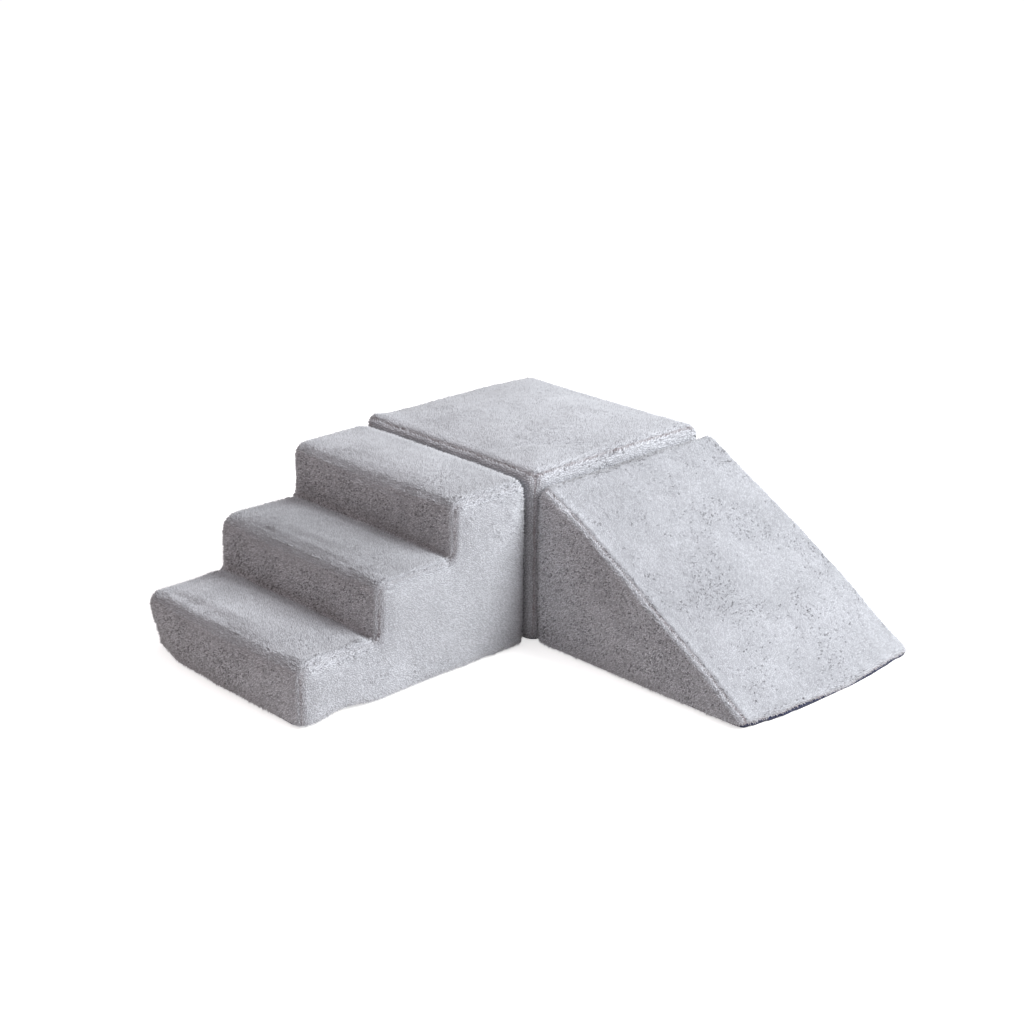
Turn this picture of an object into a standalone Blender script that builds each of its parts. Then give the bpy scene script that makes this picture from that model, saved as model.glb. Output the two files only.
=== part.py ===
# A soft play set of three foam blocks set out as an L: stairs, a square corner block and a slide.
# Each block is a foam core in a sewn cover: plush panels, a non-slip base and a zip on a far side.
# Hook-and-loop strips hold the stairs and the slide to the corner block.
# Metres, +Z up. The origin is the middle of the corner block's underside, on the floor.

import math
from collections import namedtuple

import bmesh
import bpy
from mathutils import Matrix, Vector

# Corner block
corner_length = 0.430
corner_depth = 0.410
corner_height = 0.300

# Stairs, which go down along -Y: the depth of each tread and the height of each step, front first
stairs_width = 0.417
tread_depths = (0.156, 0.156, 0.168)
step_heights = (0.107, 0.199, 0.292)
riser_lean = 0.022

# Slide, which goes down along +X from the corner block
slide_width = 0.422
slide_length = 0.441
slide_height = 0.285
slide_offset = 0.009
toe_height = 0.018

# Cover: the plush with its pile, the base fabric, and how far each panel turns past a core's face
plush_thickness = 0.006
base_thickness = 0.003
seam_turn = 0.0012
base_turn = 0.001
groove_depth = 0.0025

# Rounding of the sewn edges
edge_radius = 0.024
slide_edge_radius = 0.014
slide_top_radius = 0.012
base_radius = 0.008
toe_radius = 0.009
inner_corner_radius = 0.003

# How far the stuffed faces stand out at their middles, and over what width a side face rises
tread_crown = 0.003
riser_crown = 0.004
slope_crown = 0.004
slope_bulge = 0.007
toe_crown = 0.015
side_crown = 0.003
side_ramp = 0.018
top_crown = 0.005
top_ramp = 0.080
crown_reach = 0.070

# Hook-and-loop strips on the faces that meet
strip_width = 0.030
strip_length = 0.300
strip_thickness = 0.0015
strip_corner = 0.004
strip_heights = (0.070, 0.190)

# Zips: the window in the panel, the two tapes, the toothed chain and the slider
zip_height = 0.042
zip_length = 0.310
zip_inset = 0.030
window_height = 0.014
tape_thickness = 0.0008
tape_lap = 0.008
tape_slit = 0.0035
chain_thickness = 0.0018
chain_width = 0.008
tooth_pitch = 0.005
tooth_depth = 0.002
slider_length = 0.011
slider_front_width = 0.0116
slider_back_width = 0.0104
slider_wall = 0.0011
divider_width = 0.0025
divider_length = 0.003
bridge_length = 0.0068
bridge_width = 0.0026
bridge_wall = 0.0012
pull_length = 0.024
pull_width = 0.0066
pull_thickness = 0.0012
pull_pin_radius = 0.0007
pull_hole_radius = 0.0016

# Gap between pieces that touch, and the running gap of the slider and its pull
touch = 0.0003
running = 0.0004

seam_depth = plush_thickness + seam_turn
base_seam = base_thickness + base_turn
block_gap = 2 * strip_thickness + 3 * touch
base_share = base_radius / edge_radius
far = 2.0

Corner = namedtuple("Corner", "u v radius seam lean")
Edge = namedtuple("Edge", "cover share crown bulge")
Ring = namedtuple("Ring", "place inset swell lean")
OUTSIDE, CAVITY, CORE = range(3)


def clear_scene():
    for item in list(bpy.data.objects):
        bpy.data.objects.remove(item, do_unlink=True)


def finish(name, color, roughness, metallic=0.0):
    material = bpy.data.materials.new(name)
    material.use_nodes = True
    shader = material.node_tree.nodes["Principled BSDF"]
    shader.inputs["Base Color"].default_value = (*color, 1.0)
    shader.inputs["Roughness"].default_value = roughness
    shader.inputs["Metallic"].default_value = metallic
    material.diffuse_color = (*color, 1.0)
    return material


def add_object(name, mesh, material=None, parent=None):
    item = bpy.data.objects.new(name, mesh)
    bpy.context.scene.collection.objects.link(item)
    if material:
        item.data.materials.append(material)
    if parent:
        item.parent = parent
    return item


def mesh_from(form, name):
    bmesh.ops.recalc_face_normals(form, faces=form.faces[:])
    bmesh.ops.triangulate(form, faces=form.faces[:], ngon_method="EAR_CLIP")
    mesh = bpy.data.meshes.new(name)
    form.to_mesh(mesh)
    form.free()
    mesh.shade_smooth()
    mesh.set_sharp_from_angle(angle=math.radians(40))
    return mesh


def as_guide(item):
    item.hide_render = True
    item.display_type = "WIRE"
    item.hide_set(True)
    return item


def box_guide(name, low, high):
    form = bmesh.new()
    bmesh.ops.create_cube(form, size=1.0)
    middle = (Vector(low) + Vector(high)) / 2
    span = Vector(high) - Vector(low)
    placing = Matrix.Translation(middle) @ Matrix.Diagonal((*span, 1.0))
    bmesh.ops.transform(form, matrix=placing, verts=form.verts[:])
    return as_guide(add_object(name, mesh_from(form, name)))


def add_boolean(item, operation, other):
    step = item.modifiers.new(operation.title(), "BOOLEAN")
    step.operation = operation
    step.object = other
    step.solver = "EXACT"


def prism(outline, low, high):
    """A closed solid: an outline of (x, y) points raised from z = low to z = high."""
    form = bmesh.new()
    face = form.faces.new([form.verts.new((x, y, low)) for x, y in outline])
    raised = bmesh.ops.extrude_face_region(form, geom=[face])["geom"]
    tops = [part for part in raised if isinstance(part, bmesh.types.BMVert)]
    bmesh.ops.translate(form, verts=tops, vec=(0, 0, high - low))
    return form


# The rounded outline of a block, moved in or out edge by edge


def lines_meet(first, second):
    """The point where two lines meet, each given by a point and a direction."""
    (start, along), (other, across) = first, second
    between = other - start
    turn = along.x * across.y - along.y * across.x
    return start + along * ((between.x * across.y - between.y * across.x) / turn)


def cover_at(edge, layer):
    if layer == OUTSIDE:
        return 0.0
    return edge.cover + (touch if layer == CORE else 0.0)


def corner_arc(apex, before, after, radius, fractions):
    """Points on the arc that rounds a corner, as shares of its turn, and how far each lies inwards."""
    turn = math.atan2(before.x * after.y - before.y * after.x, before.dot(after))
    side = math.copysign(1.0, turn)
    inward = Vector((-before.y, before.x)) * side
    start = apex - before * radius * math.tan(abs(turn) / 2)
    centre = start + inward * radius
    spokes = [Matrix.Rotation(turn * share, 2) @ -inward for share in fractions]
    return [(centre + spoke * radius, -spoke * side) for spoke in spokes]


def outline(corners, edges, layer, ring):
    """One closed loop of points: rounded corners joined by edges that swell with the ring."""
    count = len(corners)
    spots = [Vector((corner.u + corner.lean * ring.lean, corner.v)) for corner in corners]
    depths = [
        cover_at(edge, layer) + ring.inset * edge.share - ring.swell * edge.crown
        for edge in edges
    ]
    lines = []
    for index, depth in enumerate(depths):
        along = (spots[(index + 1) % count] - spots[index]).normalized()
        lines.append((spots[index] + Vector((-along.y, along.x)) * depth, along))
    apexes = [lines_meet(lines[index - 1], lines[index]) for index in range(count)]
    lengths = [(apexes[(index + 1) % count] - apexes[index]).length for index in range(count)]
    arcs = []
    for index, corner in enumerate(corners):
        before, after = lines[index - 1][1], lines[index][1]
        convex = before.x * after.y - before.y * after.x > 0
        moved = min(depths[index - 1], depths[index])
        radius = corner.radius - moved if convex else corner.radius + moved
        half_turn = math.tan(before.angle(after) / 2)
        longest = 0.45 * min(lengths[index - 1], lengths[index]) / half_turn
        radius = min(max(radius, touch), longest)
        if not convex:
            fractions = (0, 1)
        elif layer != OUTSIDE:
            fractions = (0, 0.5, 1)
        else:
            fractions = (0, 0.34, 0.5, 0.66, 1) if corner.seam else (0, 0.33, 0.67, 1)
        arc = corner_arc(apexes[index], before, after, radius, fractions)
        dip = groove_depth if corner.seam and layer == OUTSIDE else 0.0
        arcs.append([
            spot + inward * (dip if share == 0.5 else 0.0)
            for (spot, inward), share in zip(arc, fractions)
        ])
    points = []
    for index, edge in enumerate(edges):
        points += arcs[index]
        if layer == OUTSIDE and edge.bulge:
            start, end = arcs[index][-1], arcs[(index + 1) % count][0]
            outward = Vector((lines[index][1].y, -lines[index][1].x))
            for share in (0.25, 0.5, 0.75):
                rise = edge.bulge * 4 * share * (1 - share)
                points.append(start.lerp(end, share) + outward * rise)
    return points


def end_rings(radius, layer, cover, crown=0.0, ramp=0.0, seamed=True, lean=0.0):
    """The rings round one end of a block, each placed by its depth from the end face."""
    start = cover + (touch if layer == CORE else 0.0) if layer != OUTSIDE else 0.0
    inner_radius = max(radius - start, touch)
    rings = []
    if crown:
        rings.append(Ring(start - crown, inner_radius + ramp, 0.0, lean))
        rings.append(Ring(start - 0.7 * crown, inner_radius + 0.5 * ramp, 0.0, lean))
    if layer != OUTSIDE or not seamed:
        angles = (0.0, math.pi / 4, math.pi / 2)
        dips = (0.0, 0.0, 0.0)
    else:
        seam_angle = math.acos(1 - seam_depth / radius)
        angles = (0.0, 0.72 * seam_angle, seam_angle, 1.28 * seam_angle, math.pi / 2)
        dips = (0.0, 0.0, groove_depth, 0.0, 0.0)
    for angle, dip in zip(angles, dips):
        depth = start + inner_radius * (1 - math.cos(angle))
        rings.append(Ring(depth, inner_radius * (1 - math.sin(angle)) + dip, 0.0, lean))
    return rings


def block_rings(low, high, low_end, high_end, low_lean=0.0):
    """Rings along a block from its low end to its high end, with the stuffing's swell between."""
    rings = [ring._replace(place=low + ring.place) for ring in low_end]
    start, end = rings[-1].place, high - high_end[-1].place
    rings.append(Ring(start + crown_reach, 0.0, 0.75, low_lean * 0.3))
    rings.append(Ring((start + end) / 2, 0.0, 1.0, 0.0))
    rings.append(Ring(end - crown_reach, 0.0, 0.75, 0.0))
    return rings + [ring._replace(place=high - ring.place) for ring in reversed(high_end)]


def loft(name, corners, edges, rings, layer, placed):
    """The closed skin through one outline for each ring; placed() turns (ring, point) to a place."""
    form = bmesh.new()
    loops = []
    for ring in rings:
        points = outline(corners, edges, layer, ring)
        loops.append([form.verts.new(placed(ring.place, point)) for point in points])
    for lower, upper in zip(loops, loops[1:]):
        for index in range(len(lower)):
            form.faces.new((lower[index - 1], lower[index], upper[index], upper[index - 1]))
    form.faces.new(loops[0])
    form.faces.new(loops[-1])
    return mesh_from(form, name)


Block = namedtuple("Block", "name skin cavity low high holder")


def make_block(name, low, high, corners, edges, rings_for, placed, foam):
    """A block's foam core, and the skin and cavity that its cover panels are cut from."""
    holder = bpy.data.objects.new(name, None)
    bpy.context.scene.collection.objects.link(holder)
    skin, hollow, core = (
        loft(f"{name}_{kind}", corners, edges, rings_for(layer), layer, placed)
        for kind, layer in (("skin", OUTSIDE), ("cavity", CAVITY), ("core", CORE))
    )
    cavity = as_guide(add_object(f"{name}_cavity", hollow))
    add_object(f"{name}_foam_core", core, foam, holder)
    return Block(name, skin, cavity, Vector(low), Vector(high), holder)


def cut_panel(block, part, material, low=(-far, -far, -far), high=(far, far, far)):
    """One sewn panel: the part of the cover between the seam planes low and high."""
    gap = Vector((touch, touch, touch)) / 2
    item = add_object(f"{block.name}_{part}", block.skin.copy(), material, block.holder)
    add_boolean(item, "DIFFERENCE", block.cavity)
    region = box_guide(f"{item.name}_region", Vector(low) + gap, Vector(high) - gap)
    add_boolean(item, "INTERSECT", region)
    return item


# Corner block: a rounded plan raised along Z, with a seam up each corner and round the top


def make_corner_block(plush, base_fabric, foam):
    x, y = corner_length / 2, corner_depth / 2
    corners = [
        Corner(u, v, edge_radius, True, 0.0) for u, v in ((-x, -y), (x, -y), (x, y), (-x, y))
    ]
    flat = Edge(plush_thickness, 1.0, 0.0, 0.0)
    edges = [flat, flat, flat, flat._replace(crown=side_crown)]

    def rings_for(layer):
        bottom = end_rings(base_radius, layer, base_thickness, seamed=False)
        top = end_rings(edge_radius, layer, plush_thickness, top_crown, top_ramp)
        return block_rings(0.0, corner_height, bottom, top)

    block = make_block(
        "corner", (-x, -y, 0.0), (x, y, corner_height), corners, edges, rings_for,
        lambda place, point: (point.x, point.y, place), foam,
    )
    left, right = -x + seam_depth, x - seam_depth
    front, back = -y + seam_depth, y - seam_depth
    lid = corner_height - seam_depth
    cut_panel(block, "base", base_fabric, high=(far, far, base_seam))
    cut_panel(block, "top_panel", plush, low=(-far, -far, lid))
    cut_panel(block, "slide_side_panel", plush, (right, -far, base_seam), (far, far, lid))
    cut_panel(block, "outer_side_panel", plush, (-far, -far, base_seam), (left, far, lid))
    cut_panel(block, "stairs_side_panel", plush, (left, -far, base_seam), (right, front, lid))
    zipped = cut_panel(block, "zip_side_panel", plush, (left, back, base_seam), (right, far, lid))
    return block, zipped


# Stairs: a stepped profile carried across X, with one strip of plush over treads and risers


def make_stairs(plush, base_fabric, foam):
    back = -corner_depth / 2 - block_gap
    front = back - sum(tread_depths)
    low, middle, top = step_heights
    second, third = front + tread_depths[0], front + tread_depths[0] + tread_depths[1]
    half = stairs_width / 2
    corners = [
        Corner(front, 0.0, base_radius, False, riser_lean),
        Corner(back, 0.0, base_radius, False, 0.0),
        Corner(back, top, edge_radius, True, 0.0),
        Corner(third, top, edge_radius, False, 0.0),
        Corner(third, middle, inner_corner_radius, False, 0.0),
        Corner(second, middle, edge_radius, False, 0.0),
        Corner(second, low, inner_corner_radius, False, 0.0),
        Corner(front, low, edge_radius, False, 0.0),
    ]
    tread = Edge(plush_thickness, 1.0, tread_crown, 0.0)
    riser = Edge(plush_thickness, 1.0, riser_crown, 0.0)
    base = Edge(base_thickness, base_share, 0.0, 0.0)
    edges = [base, riser._replace(crown=0.0), tread, riser, tread, riser, tread, riser]

    def rings_for(layer):
        outer_end = end_rings(edge_radius, layer, plush_thickness, lean=1.0)
        near_end = end_rings(edge_radius, layer, plush_thickness, side_crown, side_ramp)
        return block_rings(-half, half, outer_end, near_end, low_lean=1.0)

    block = make_block(
        "stairs", (-half, front, 0.0), (half, back, top), corners, edges, rings_for,
        lambda place, point: (place, point.x, point.y), foam,
    )
    left, right, rear = -half + seam_depth, half - seam_depth, back - seam_depth
    cut_panel(block, "base", base_fabric, high=(far, far, base_seam))
    cut_panel(block, "tread_strip", plush, (left, -far, base_seam), (right, rear, far))
    cut_panel(block, "back_panel", plush, (left, rear, base_seam), (right, far, far))
    cut_panel(block, "near_side_panel", plush, (right, -far, base_seam))
    zipped = cut_panel(block, "zip_side_panel", plush, (-far, -far, base_seam), (left, far, far))
    return block, zipped


# Slide: a wedge profile carried across Y, with one panel down the slope and over the toe


def make_slide(plush, base_fabric, foam):
    back = corner_length / 2 + block_gap
    toe = back + slide_length
    near, away = slide_offset - slide_width / 2, slide_offset + slide_width / 2
    corners = [
        Corner(back, 0.0, base_radius, False, 0.0),
        Corner(toe, 0.0, toe_radius, False, 0.0),
        Corner(toe, toe_height, toe_radius, False, 0.0),
        Corner(back, slide_height, slide_top_radius, True, 0.0),
    ]
    plain = Edge(plush_thickness, 1.0, 0.0, 0.0)
    edges = [
        Edge(base_thickness, base_radius / slide_edge_radius, 0.0, 0.0),
        plain._replace(crown=toe_crown),
        plain._replace(crown=slope_crown, bulge=slope_bulge),
        plain,
    ]

    def rings_for(layer):
        ends = [end_rings(slide_edge_radius, layer, plush_thickness) for _ in range(2)]
        return block_rings(near, away, *ends)

    block = make_block(
        "slide", (back, near, 0.0), (toe, away, slide_height), corners, edges, rings_for,
        lambda place, point: (point.x, place, point.y), foam,
    )
    front, rear, behind = near + seam_depth, away - seam_depth, back + seam_depth
    cut_panel(block, "base", base_fabric, high=(far, far, base_seam))
    cut_panel(block, "slope_panel", plush, (behind, front, base_seam), (far, rear, far))
    cut_panel(block, "back_panel", plush, (-far, front, base_seam), (behind, rear, far))
    cut_panel(block, "near_side_panel", plush, (-far, -far, base_seam), (far, front, far))
    zipped = cut_panel(block, "zip_side_panel", plush, (-far, rear, base_seam))
    return block, zipped


# Hook-and-loop: two pairs of strips at each joint between blocks, sewn to the faces that meet


def rounded_rectangle(length, width, radius):
    corners = [
        Corner(u * length / 2, v * width / 2, radius, False, 0.0)
        for u, v in ((-1, -1), (1, -1), (1, 1), (-1, 1))
    ]
    edges = [Edge(0.0, 1.0, 0.0, 0.0)] * 4
    return [tuple(point) for point in outline(corners, edges, OUTSIDE, Ring(0.0, 0.0, 0.0, 0.0))]


def add_strip(name, centre, turn, block, material):
    shape = rounded_rectangle(strip_length, strip_width, strip_corner)
    mesh = mesh_from(prism(shape, -strip_thickness / 2, strip_thickness / 2), name)
    item = add_object(name, mesh, material, block.holder)
    item.matrix_world = Matrix.Translation(centre) @ turn
    return item


def add_strips(block, other, other_name, direction, middle, turn, hook, loop_pile):
    """Loop strips on the corner block and hook strips on its neighbour, face to face."""
    for level, height in zip(("lower", "upper"), strip_heights):
        place = Vector((middle[0], middle[1], height))
        near_side = place + direction * (touch + strip_thickness / 2)
        far_side = place + direction * (2 * touch + 1.5 * strip_thickness)
        add_strip(f"corner_{level}_loop_strip_{other_name}", near_side, turn, block, loop_pile)
        add_strip(f"{other_name}_{level}_hook_strip", far_side, turn, other, hook)


# Zips. Each is built along its own +X with +Y out of the panel and +Z up, from the closed end.
# Depths run outwards from the cover's inner face, which is Y = 0.

plate_inner = (touch, touch + slider_wall)
tape_span = (plate_inner[1] + running, plate_inner[1] + running + tape_thickness)
chain_span = (tape_span[1] + touch, tape_span[1] + touch + chain_thickness)
plate_outer = (chain_span[1] + running, chain_span[1] + running + slider_wall)
pin_depth = plate_outer[1] + running + pull_thickness / 2 + touch
slider_start = touch + slider_length / 2
slider_travel = zip_length - slider_length - 2 * touch


def tape_mesh(name, side):
    inner, outer = tape_slit / 2, window_height / 2 + tape_lap
    low, high = sorted((side * inner, side * outer))
    shape = [(-tape_lap, low), (zip_length + tape_lap, low)]
    shape += [(zip_length + tape_lap, high), (-tape_lap, high)]
    return upright(prism(shape, *tape_span), name)


def chain_mesh(name, side):
    """Half of the chain: a row of teeth that mesh with the other half's across the middle."""
    start = touch + divider_length + 2 * touch
    teeth = int((zip_length - touch - start) / tooth_pitch)
    wave = []
    for index in range(2 * teeth + 1):
        swing = tooth_depth / 2 if index % 2 else -tooth_depth / 2
        wave.append((start + index * tooth_pitch / 2, side * 0.65 * touch + swing))
    end = wave[-1][0]
    edge = side * chain_width / 2
    return upright(prism(wave + [(end, edge), (start, edge)], *chain_span), name)


def upright(form, name):
    """Turns a prism drawn in X and Y, with its thickness along Z, to stand in X and Z."""
    swap = Matrix(((1, 0, 0, 0), (0, 0, 1, 0), (0, 1, 0, 0), (0, 0, 0, 1)))
    bmesh.ops.transform(form, matrix=swap, verts=form.verts[:])
    return mesh_from(form, name)


def baked(item, name):
    """A plain mesh of an object with its modifiers applied."""
    bpy.context.view_layer.update()
    seen = item.evaluated_get(bpy.context.evaluated_depsgraph_get())
    mesh = bpy.data.meshes.new_from_object(seen)
    mesh.name = name
    return mesh


def slider_mesh():
    """Two plates joined by the divider, rims that guide the chain, and a bridge for the pull."""
    front, back = slider_front_width / 2, slider_back_width / 2
    half = slider_length / 2
    nose = 0.35 * slider_length
    plate = [(-half, -0.6 * front), (-nose, -front), (half, -back)]
    plate += [(x, -z) for x, z in reversed(plate)]
    middle = -half + divider_length / 2
    waist = divider_width / 2
    divider = [(-half, 0.0), (middle, -waist), (-half + divider_length, 0.0), (middle, waist)]
    rim_inner = chain_width / 2 + running
    join = 0.2 * slider_wall
    pieces = [
        upright(prism(plate, *plate_inner), "inner_plate"),
        upright(prism(divider, plate_inner[1] - join, plate_outer[0] + join), "divider"),
    ]
    for side in (-1, 1):
        rim = [(-nose, rim_inner), (half, rim_inner), (half, back), (-nose, front)]
        rim = [(x, side * z) for x, z in rim]
        pieces.append(upright(prism(rim, chain_span[0], plate_outer[0] + join), "rim"))
    foot = plate_outer[1] - join
    tunnel = plate_outer[1] + 2 * (pin_depth - plate_outer[1])
    crown = tunnel + bridge_wall
    reach, inside = bridge_length / 2, bridge_length / 2 - bridge_wall
    arch = [(-reach, foot), (-reach, tunnel), (-inside, crown), (inside, crown), (reach, tunnel)]
    arch += [(reach, foot), (inside, foot), (inside, tunnel), (-inside, tunnel), (-inside, foot)]
    pieces.append(mesh_from(prism(arch, -bridge_width / 2, bridge_width / 2), "bridge"))
    body = as_guide(add_object("slider_form", upright(prism(plate, *plate_outer), "slider_form")))
    for piece in pieces:
        add_boolean(body, "UNION", as_guide(add_object(f"slider_{piece.name}", piece)))
    return baked(body, "zip_slider")


def pull_mesh():
    """A flat tab whose pin turns in the slider's bridge; the pin is the mesh's own Z axis."""
    half = pull_width / 2
    eye = bridge_width / 2 + running
    clear = math.hypot(bridge_length / 2, bridge_wall + pin_depth - plate_outer[1]) + running
    shape = rounded_rectangle(pull_length, pull_width, 0.35 * pull_width)
    shift = pull_length / 2 - pull_pin_radius
    tab = upright(prism([(x + shift, z) for x, z in shape], -pull_thickness / 2,
                        pull_thickness / 2), "pull_tab")
    body = as_guide(add_object("pull_form", tab))
    hole = bmesh.new()
    bmesh.ops.create_cone(
        hole, cap_ends=True, segments=12, radius1=pull_hole_radius, radius2=pull_hole_radius,
        depth=4 * pull_thickness,
        matrix=Matrix.Translation((pull_length - 2 * half, 0, 0)) @ Matrix.Rotation(math.pi / 2, 4, "X"),
    )
    cuts = [
        box_guide("pull_eye", (pull_pin_radius, -pull_thickness, -eye), (clear, pull_thickness, eye)),
        box_guide("pull_back", (-pull_length, -pull_thickness, -eye),
                  (pull_pin_radius, pull_thickness, eye)),
        as_guide(add_object("pull_hole", mesh_from(hole, "pull_hole"))),
    ]
    for cut in cuts:
        add_boolean(body, "DIFFERENCE", cut)
    pin = bmesh.new()
    bmesh.ops.create_cone(
        pin, cap_ends=True, segments=12, radius1=pull_pin_radius, radius2=pull_pin_radius,
        depth=2 * eye + (half - eye),
    )
    add_boolean(body, "UNION", as_guide(add_object("pull_pin", mesh_from(pin, "pull_pin"))))
    return baked(body, "zip_pull")


def add_zip(block, panel, start, along, outward, meshes, finishes):
    """Cuts a zip's window in a panel and sets its tapes, chain, slider and pull in place."""
    place = Matrix.Identity(4)
    for column, axis in enumerate((along, outward, Vector((0, 0, 1)))):
        for row in range(3):
            place[row][column] = axis[row]
    place = Matrix.Translation(start) @ place
    half = window_height / 2
    window = box_guide(f"{panel.name}_window", (0, -far / 10, -half), (zip_length, far / 10, half))
    lap = tape_lap + touch
    slot = box_guide(
        f"{panel.name}_slot", (-lap, tape_span[0] - touch, -half - lap),
        (zip_length + lap, tape_span[1] + touch, half + lap),
    )
    for cut in (window, slot):
        cut.matrix_world = place
        add_boolean(panel, "DIFFERENCE", cut)
    pieces = [
        ("zip_upper_tape", meshes["upper_tape"], finishes["tape"], Vector((0, 0, 0))),
        ("zip_lower_tape", meshes["lower_tape"], finishes["tape"], Vector((0, 0, 0))),
        ("zip_upper_chain", meshes["upper_chain"], finishes["chain"], Vector((0, 0, 0))),
        ("zip_lower_chain", meshes["lower_chain"], finishes["chain"], Vector((0, 0, 0))),
        ("zip_slider", meshes["slider"], finishes["slider"], Vector((slider_start, 0, 0))),
        ("zip_pull", meshes["pull"], finishes["slider"], Vector((slider_start, pin_depth, 0))),
    ]
    for name, mesh, material, offset in pieces:
        item = add_object(f"{block.name}_{name}", mesh.copy(), material, block.holder)
        item.matrix_world = place @ Matrix.Translation(offset)


def build():
    clear_scene()
    plush = finish("short_pile_plush", (0.50, 0.51, 0.55), 0.95)
    base_fabric = finish("non_slip_base_fabric", (0.012, 0.016, 0.035), 0.8)
    foam = finish("polyurethane_foam", (0.80, 0.76, 0.66), 0.9)
    loop_pile = finish("loop_pile_tape", (0.42, 0.43, 0.46), 0.9)
    hook = finish("hook_tape", (0.36, 0.37, 0.40), 0.6)
    finishes = {
        "tape": finish("woven_zip_tape", (0.40, 0.41, 0.45), 0.85),
        "chain": finish("nylon_zip_teeth", (0.45, 0.46, 0.50), 0.45),
        "slider": finish("nickel_plated_zinc", (0.62, 0.61, 0.58), 0.3, 1.0),
    }
    corner, corner_panel = make_corner_block(plush, base_fabric, foam)
    stairs, stairs_panel = make_stairs(plush, base_fabric, foam)
    slide, slide_panel = make_slide(plush, base_fabric, foam)

    facing_stairs = Matrix.Rotation(math.pi / 2, 4, "X")
    facing_slide = Matrix.Rotation(math.pi / 2, 4, "Z") @ facing_stairs
    add_strips(corner, stairs, "stairs", Vector((0, -1, 0)), (0.0, corner.low.y),
               facing_stairs, hook, loop_pile)
    add_strips(corner, slide, "slide", Vector((1, 0, 0)), (corner.high.x, 0.0),
               facing_slide, hook, loop_pile)

    meshes = {
        "upper_tape": tape_mesh("upper_tape", 1),
        "lower_tape": tape_mesh("lower_tape", -1),
        "upper_chain": chain_mesh("upper_chain", 1),
        "lower_chain": chain_mesh("lower_chain", -1),
        "slider": slider_mesh(),
        "pull": pull_mesh(),
    }
    along_x, along_y = Vector((1, 0, 0)), Vector((0, 1, 0))
    corner_start = Vector((-zip_length / 2, corner.high.y - plush_thickness, zip_height))
    add_zip(corner, corner_panel, corner_start, along_x, along_y, meshes, finishes)
    stairs_y = stairs.high.y - zip_inset - zip_length
    stairs_start = Vector((stairs.low.x + plush_thickness, stairs_y, zip_height))
    add_zip(stairs, stairs_panel, stairs_start, along_y, -along_x, meshes, finishes)
    slide_start = Vector((slide.low.x + zip_inset, slide.high.y - plush_thickness, zip_height))
    add_zip(slide, slide_panel, slide_start, along_x, along_y, meshes, finishes)


build()
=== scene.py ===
import math

import bmesh
import bpy
import numpy as np
from mathutils import Matrix, Vector, noise
from mathutils.kdtree import KDTree


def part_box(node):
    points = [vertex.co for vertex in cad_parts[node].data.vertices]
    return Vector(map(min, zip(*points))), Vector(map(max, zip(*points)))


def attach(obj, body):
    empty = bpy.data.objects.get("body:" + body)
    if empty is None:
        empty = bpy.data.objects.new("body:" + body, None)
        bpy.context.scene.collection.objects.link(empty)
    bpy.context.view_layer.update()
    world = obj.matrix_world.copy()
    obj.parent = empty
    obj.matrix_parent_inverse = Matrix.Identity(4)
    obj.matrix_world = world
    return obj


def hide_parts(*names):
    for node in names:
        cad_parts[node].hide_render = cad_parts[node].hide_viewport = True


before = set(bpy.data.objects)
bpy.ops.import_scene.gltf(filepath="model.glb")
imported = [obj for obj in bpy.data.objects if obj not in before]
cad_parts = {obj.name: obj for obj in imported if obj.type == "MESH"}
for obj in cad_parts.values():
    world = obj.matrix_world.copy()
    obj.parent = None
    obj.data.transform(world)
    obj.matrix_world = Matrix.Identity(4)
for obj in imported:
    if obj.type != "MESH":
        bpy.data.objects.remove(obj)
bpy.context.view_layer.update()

noise.seed_set(5)  # one seed for all the noise draws, so that each run gives the same set
scene = bpy.context.scene
scene.view_settings.view_transform = "Standard"

# The view: a short telephoto lens that looks down at the inner corner of the L, where the stairs and
# the slide meet the corner block. Azimuth and tilt come from the edges of the blocks in the photograph.

view_azimuth, view_tilt, view_roll = math.radians(46.15), math.radians(19.54), math.radians(0.45)
focal_pixels, middle_x, middle_y = 1970.8, 502.5, 483.7
aim, aim_x, aim_y, aim_distance = Vector((0.209, -0.199, 0.147)), 534.0, 560.3, 3.234

back = Vector((
    math.sin(view_azimuth) * math.cos(view_tilt),
    -math.cos(view_azimuth) * math.cos(view_tilt),
    math.sin(view_tilt),
))
level = Vector((math.cos(view_azimuth), math.sin(view_azimuth), 0.0))
rise = back.cross(level)
right = level * math.cos(view_roll) + rise * math.sin(view_roll)
up = rise * math.cos(view_roll) - level * math.sin(view_roll)
off_x = (aim_x - middle_x) * aim_distance / focal_pixels
off_y = (aim_y - middle_y) * aim_distance / focal_pixels
eye = aim + back * aim_distance - right * off_x + up * off_y
lens = bpy.data.cameras.new("camera")
lens.sensor_width = 36.0
lens.lens = focal_pixels * 36.0 / 1024
lens.shift_x = 0.5 - middle_x / 1024
lens.shift_y = middle_y / 1024 - 0.5
lens.clip_start, lens.clip_end = 0.1, 60.0
camera = bpy.data.objects.new("camera", lens)
camera.matrix_world = Matrix((
    (right.x, up.x, back.x, eye.x),
    (right.y, up.y, back.y, eye.y),
    (right.z, up.z, back.z, eye.z),
    (0.0, 0.0, 0.0, 1.0),
))
scene.collection.objects.link(camera)
scene.camera = camera

# The floor and the light: a matt white studio floor, a large window light from the right, a weak ceiling
# light, and weak warm light from the room on the left.


def colour(code):
    """An sRGB colour such as #C8CCD2 as linear red, green, blue and alpha."""
    shares = [int(code[place:place + 2], 16) / 255 for place in (1, 3, 5)]
    linear = [s / 12.92 if s <= 0.04045 else ((s + 0.055) / 1.055) ** 2.4 for s in shares]
    return (*linear, 1.0)


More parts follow.
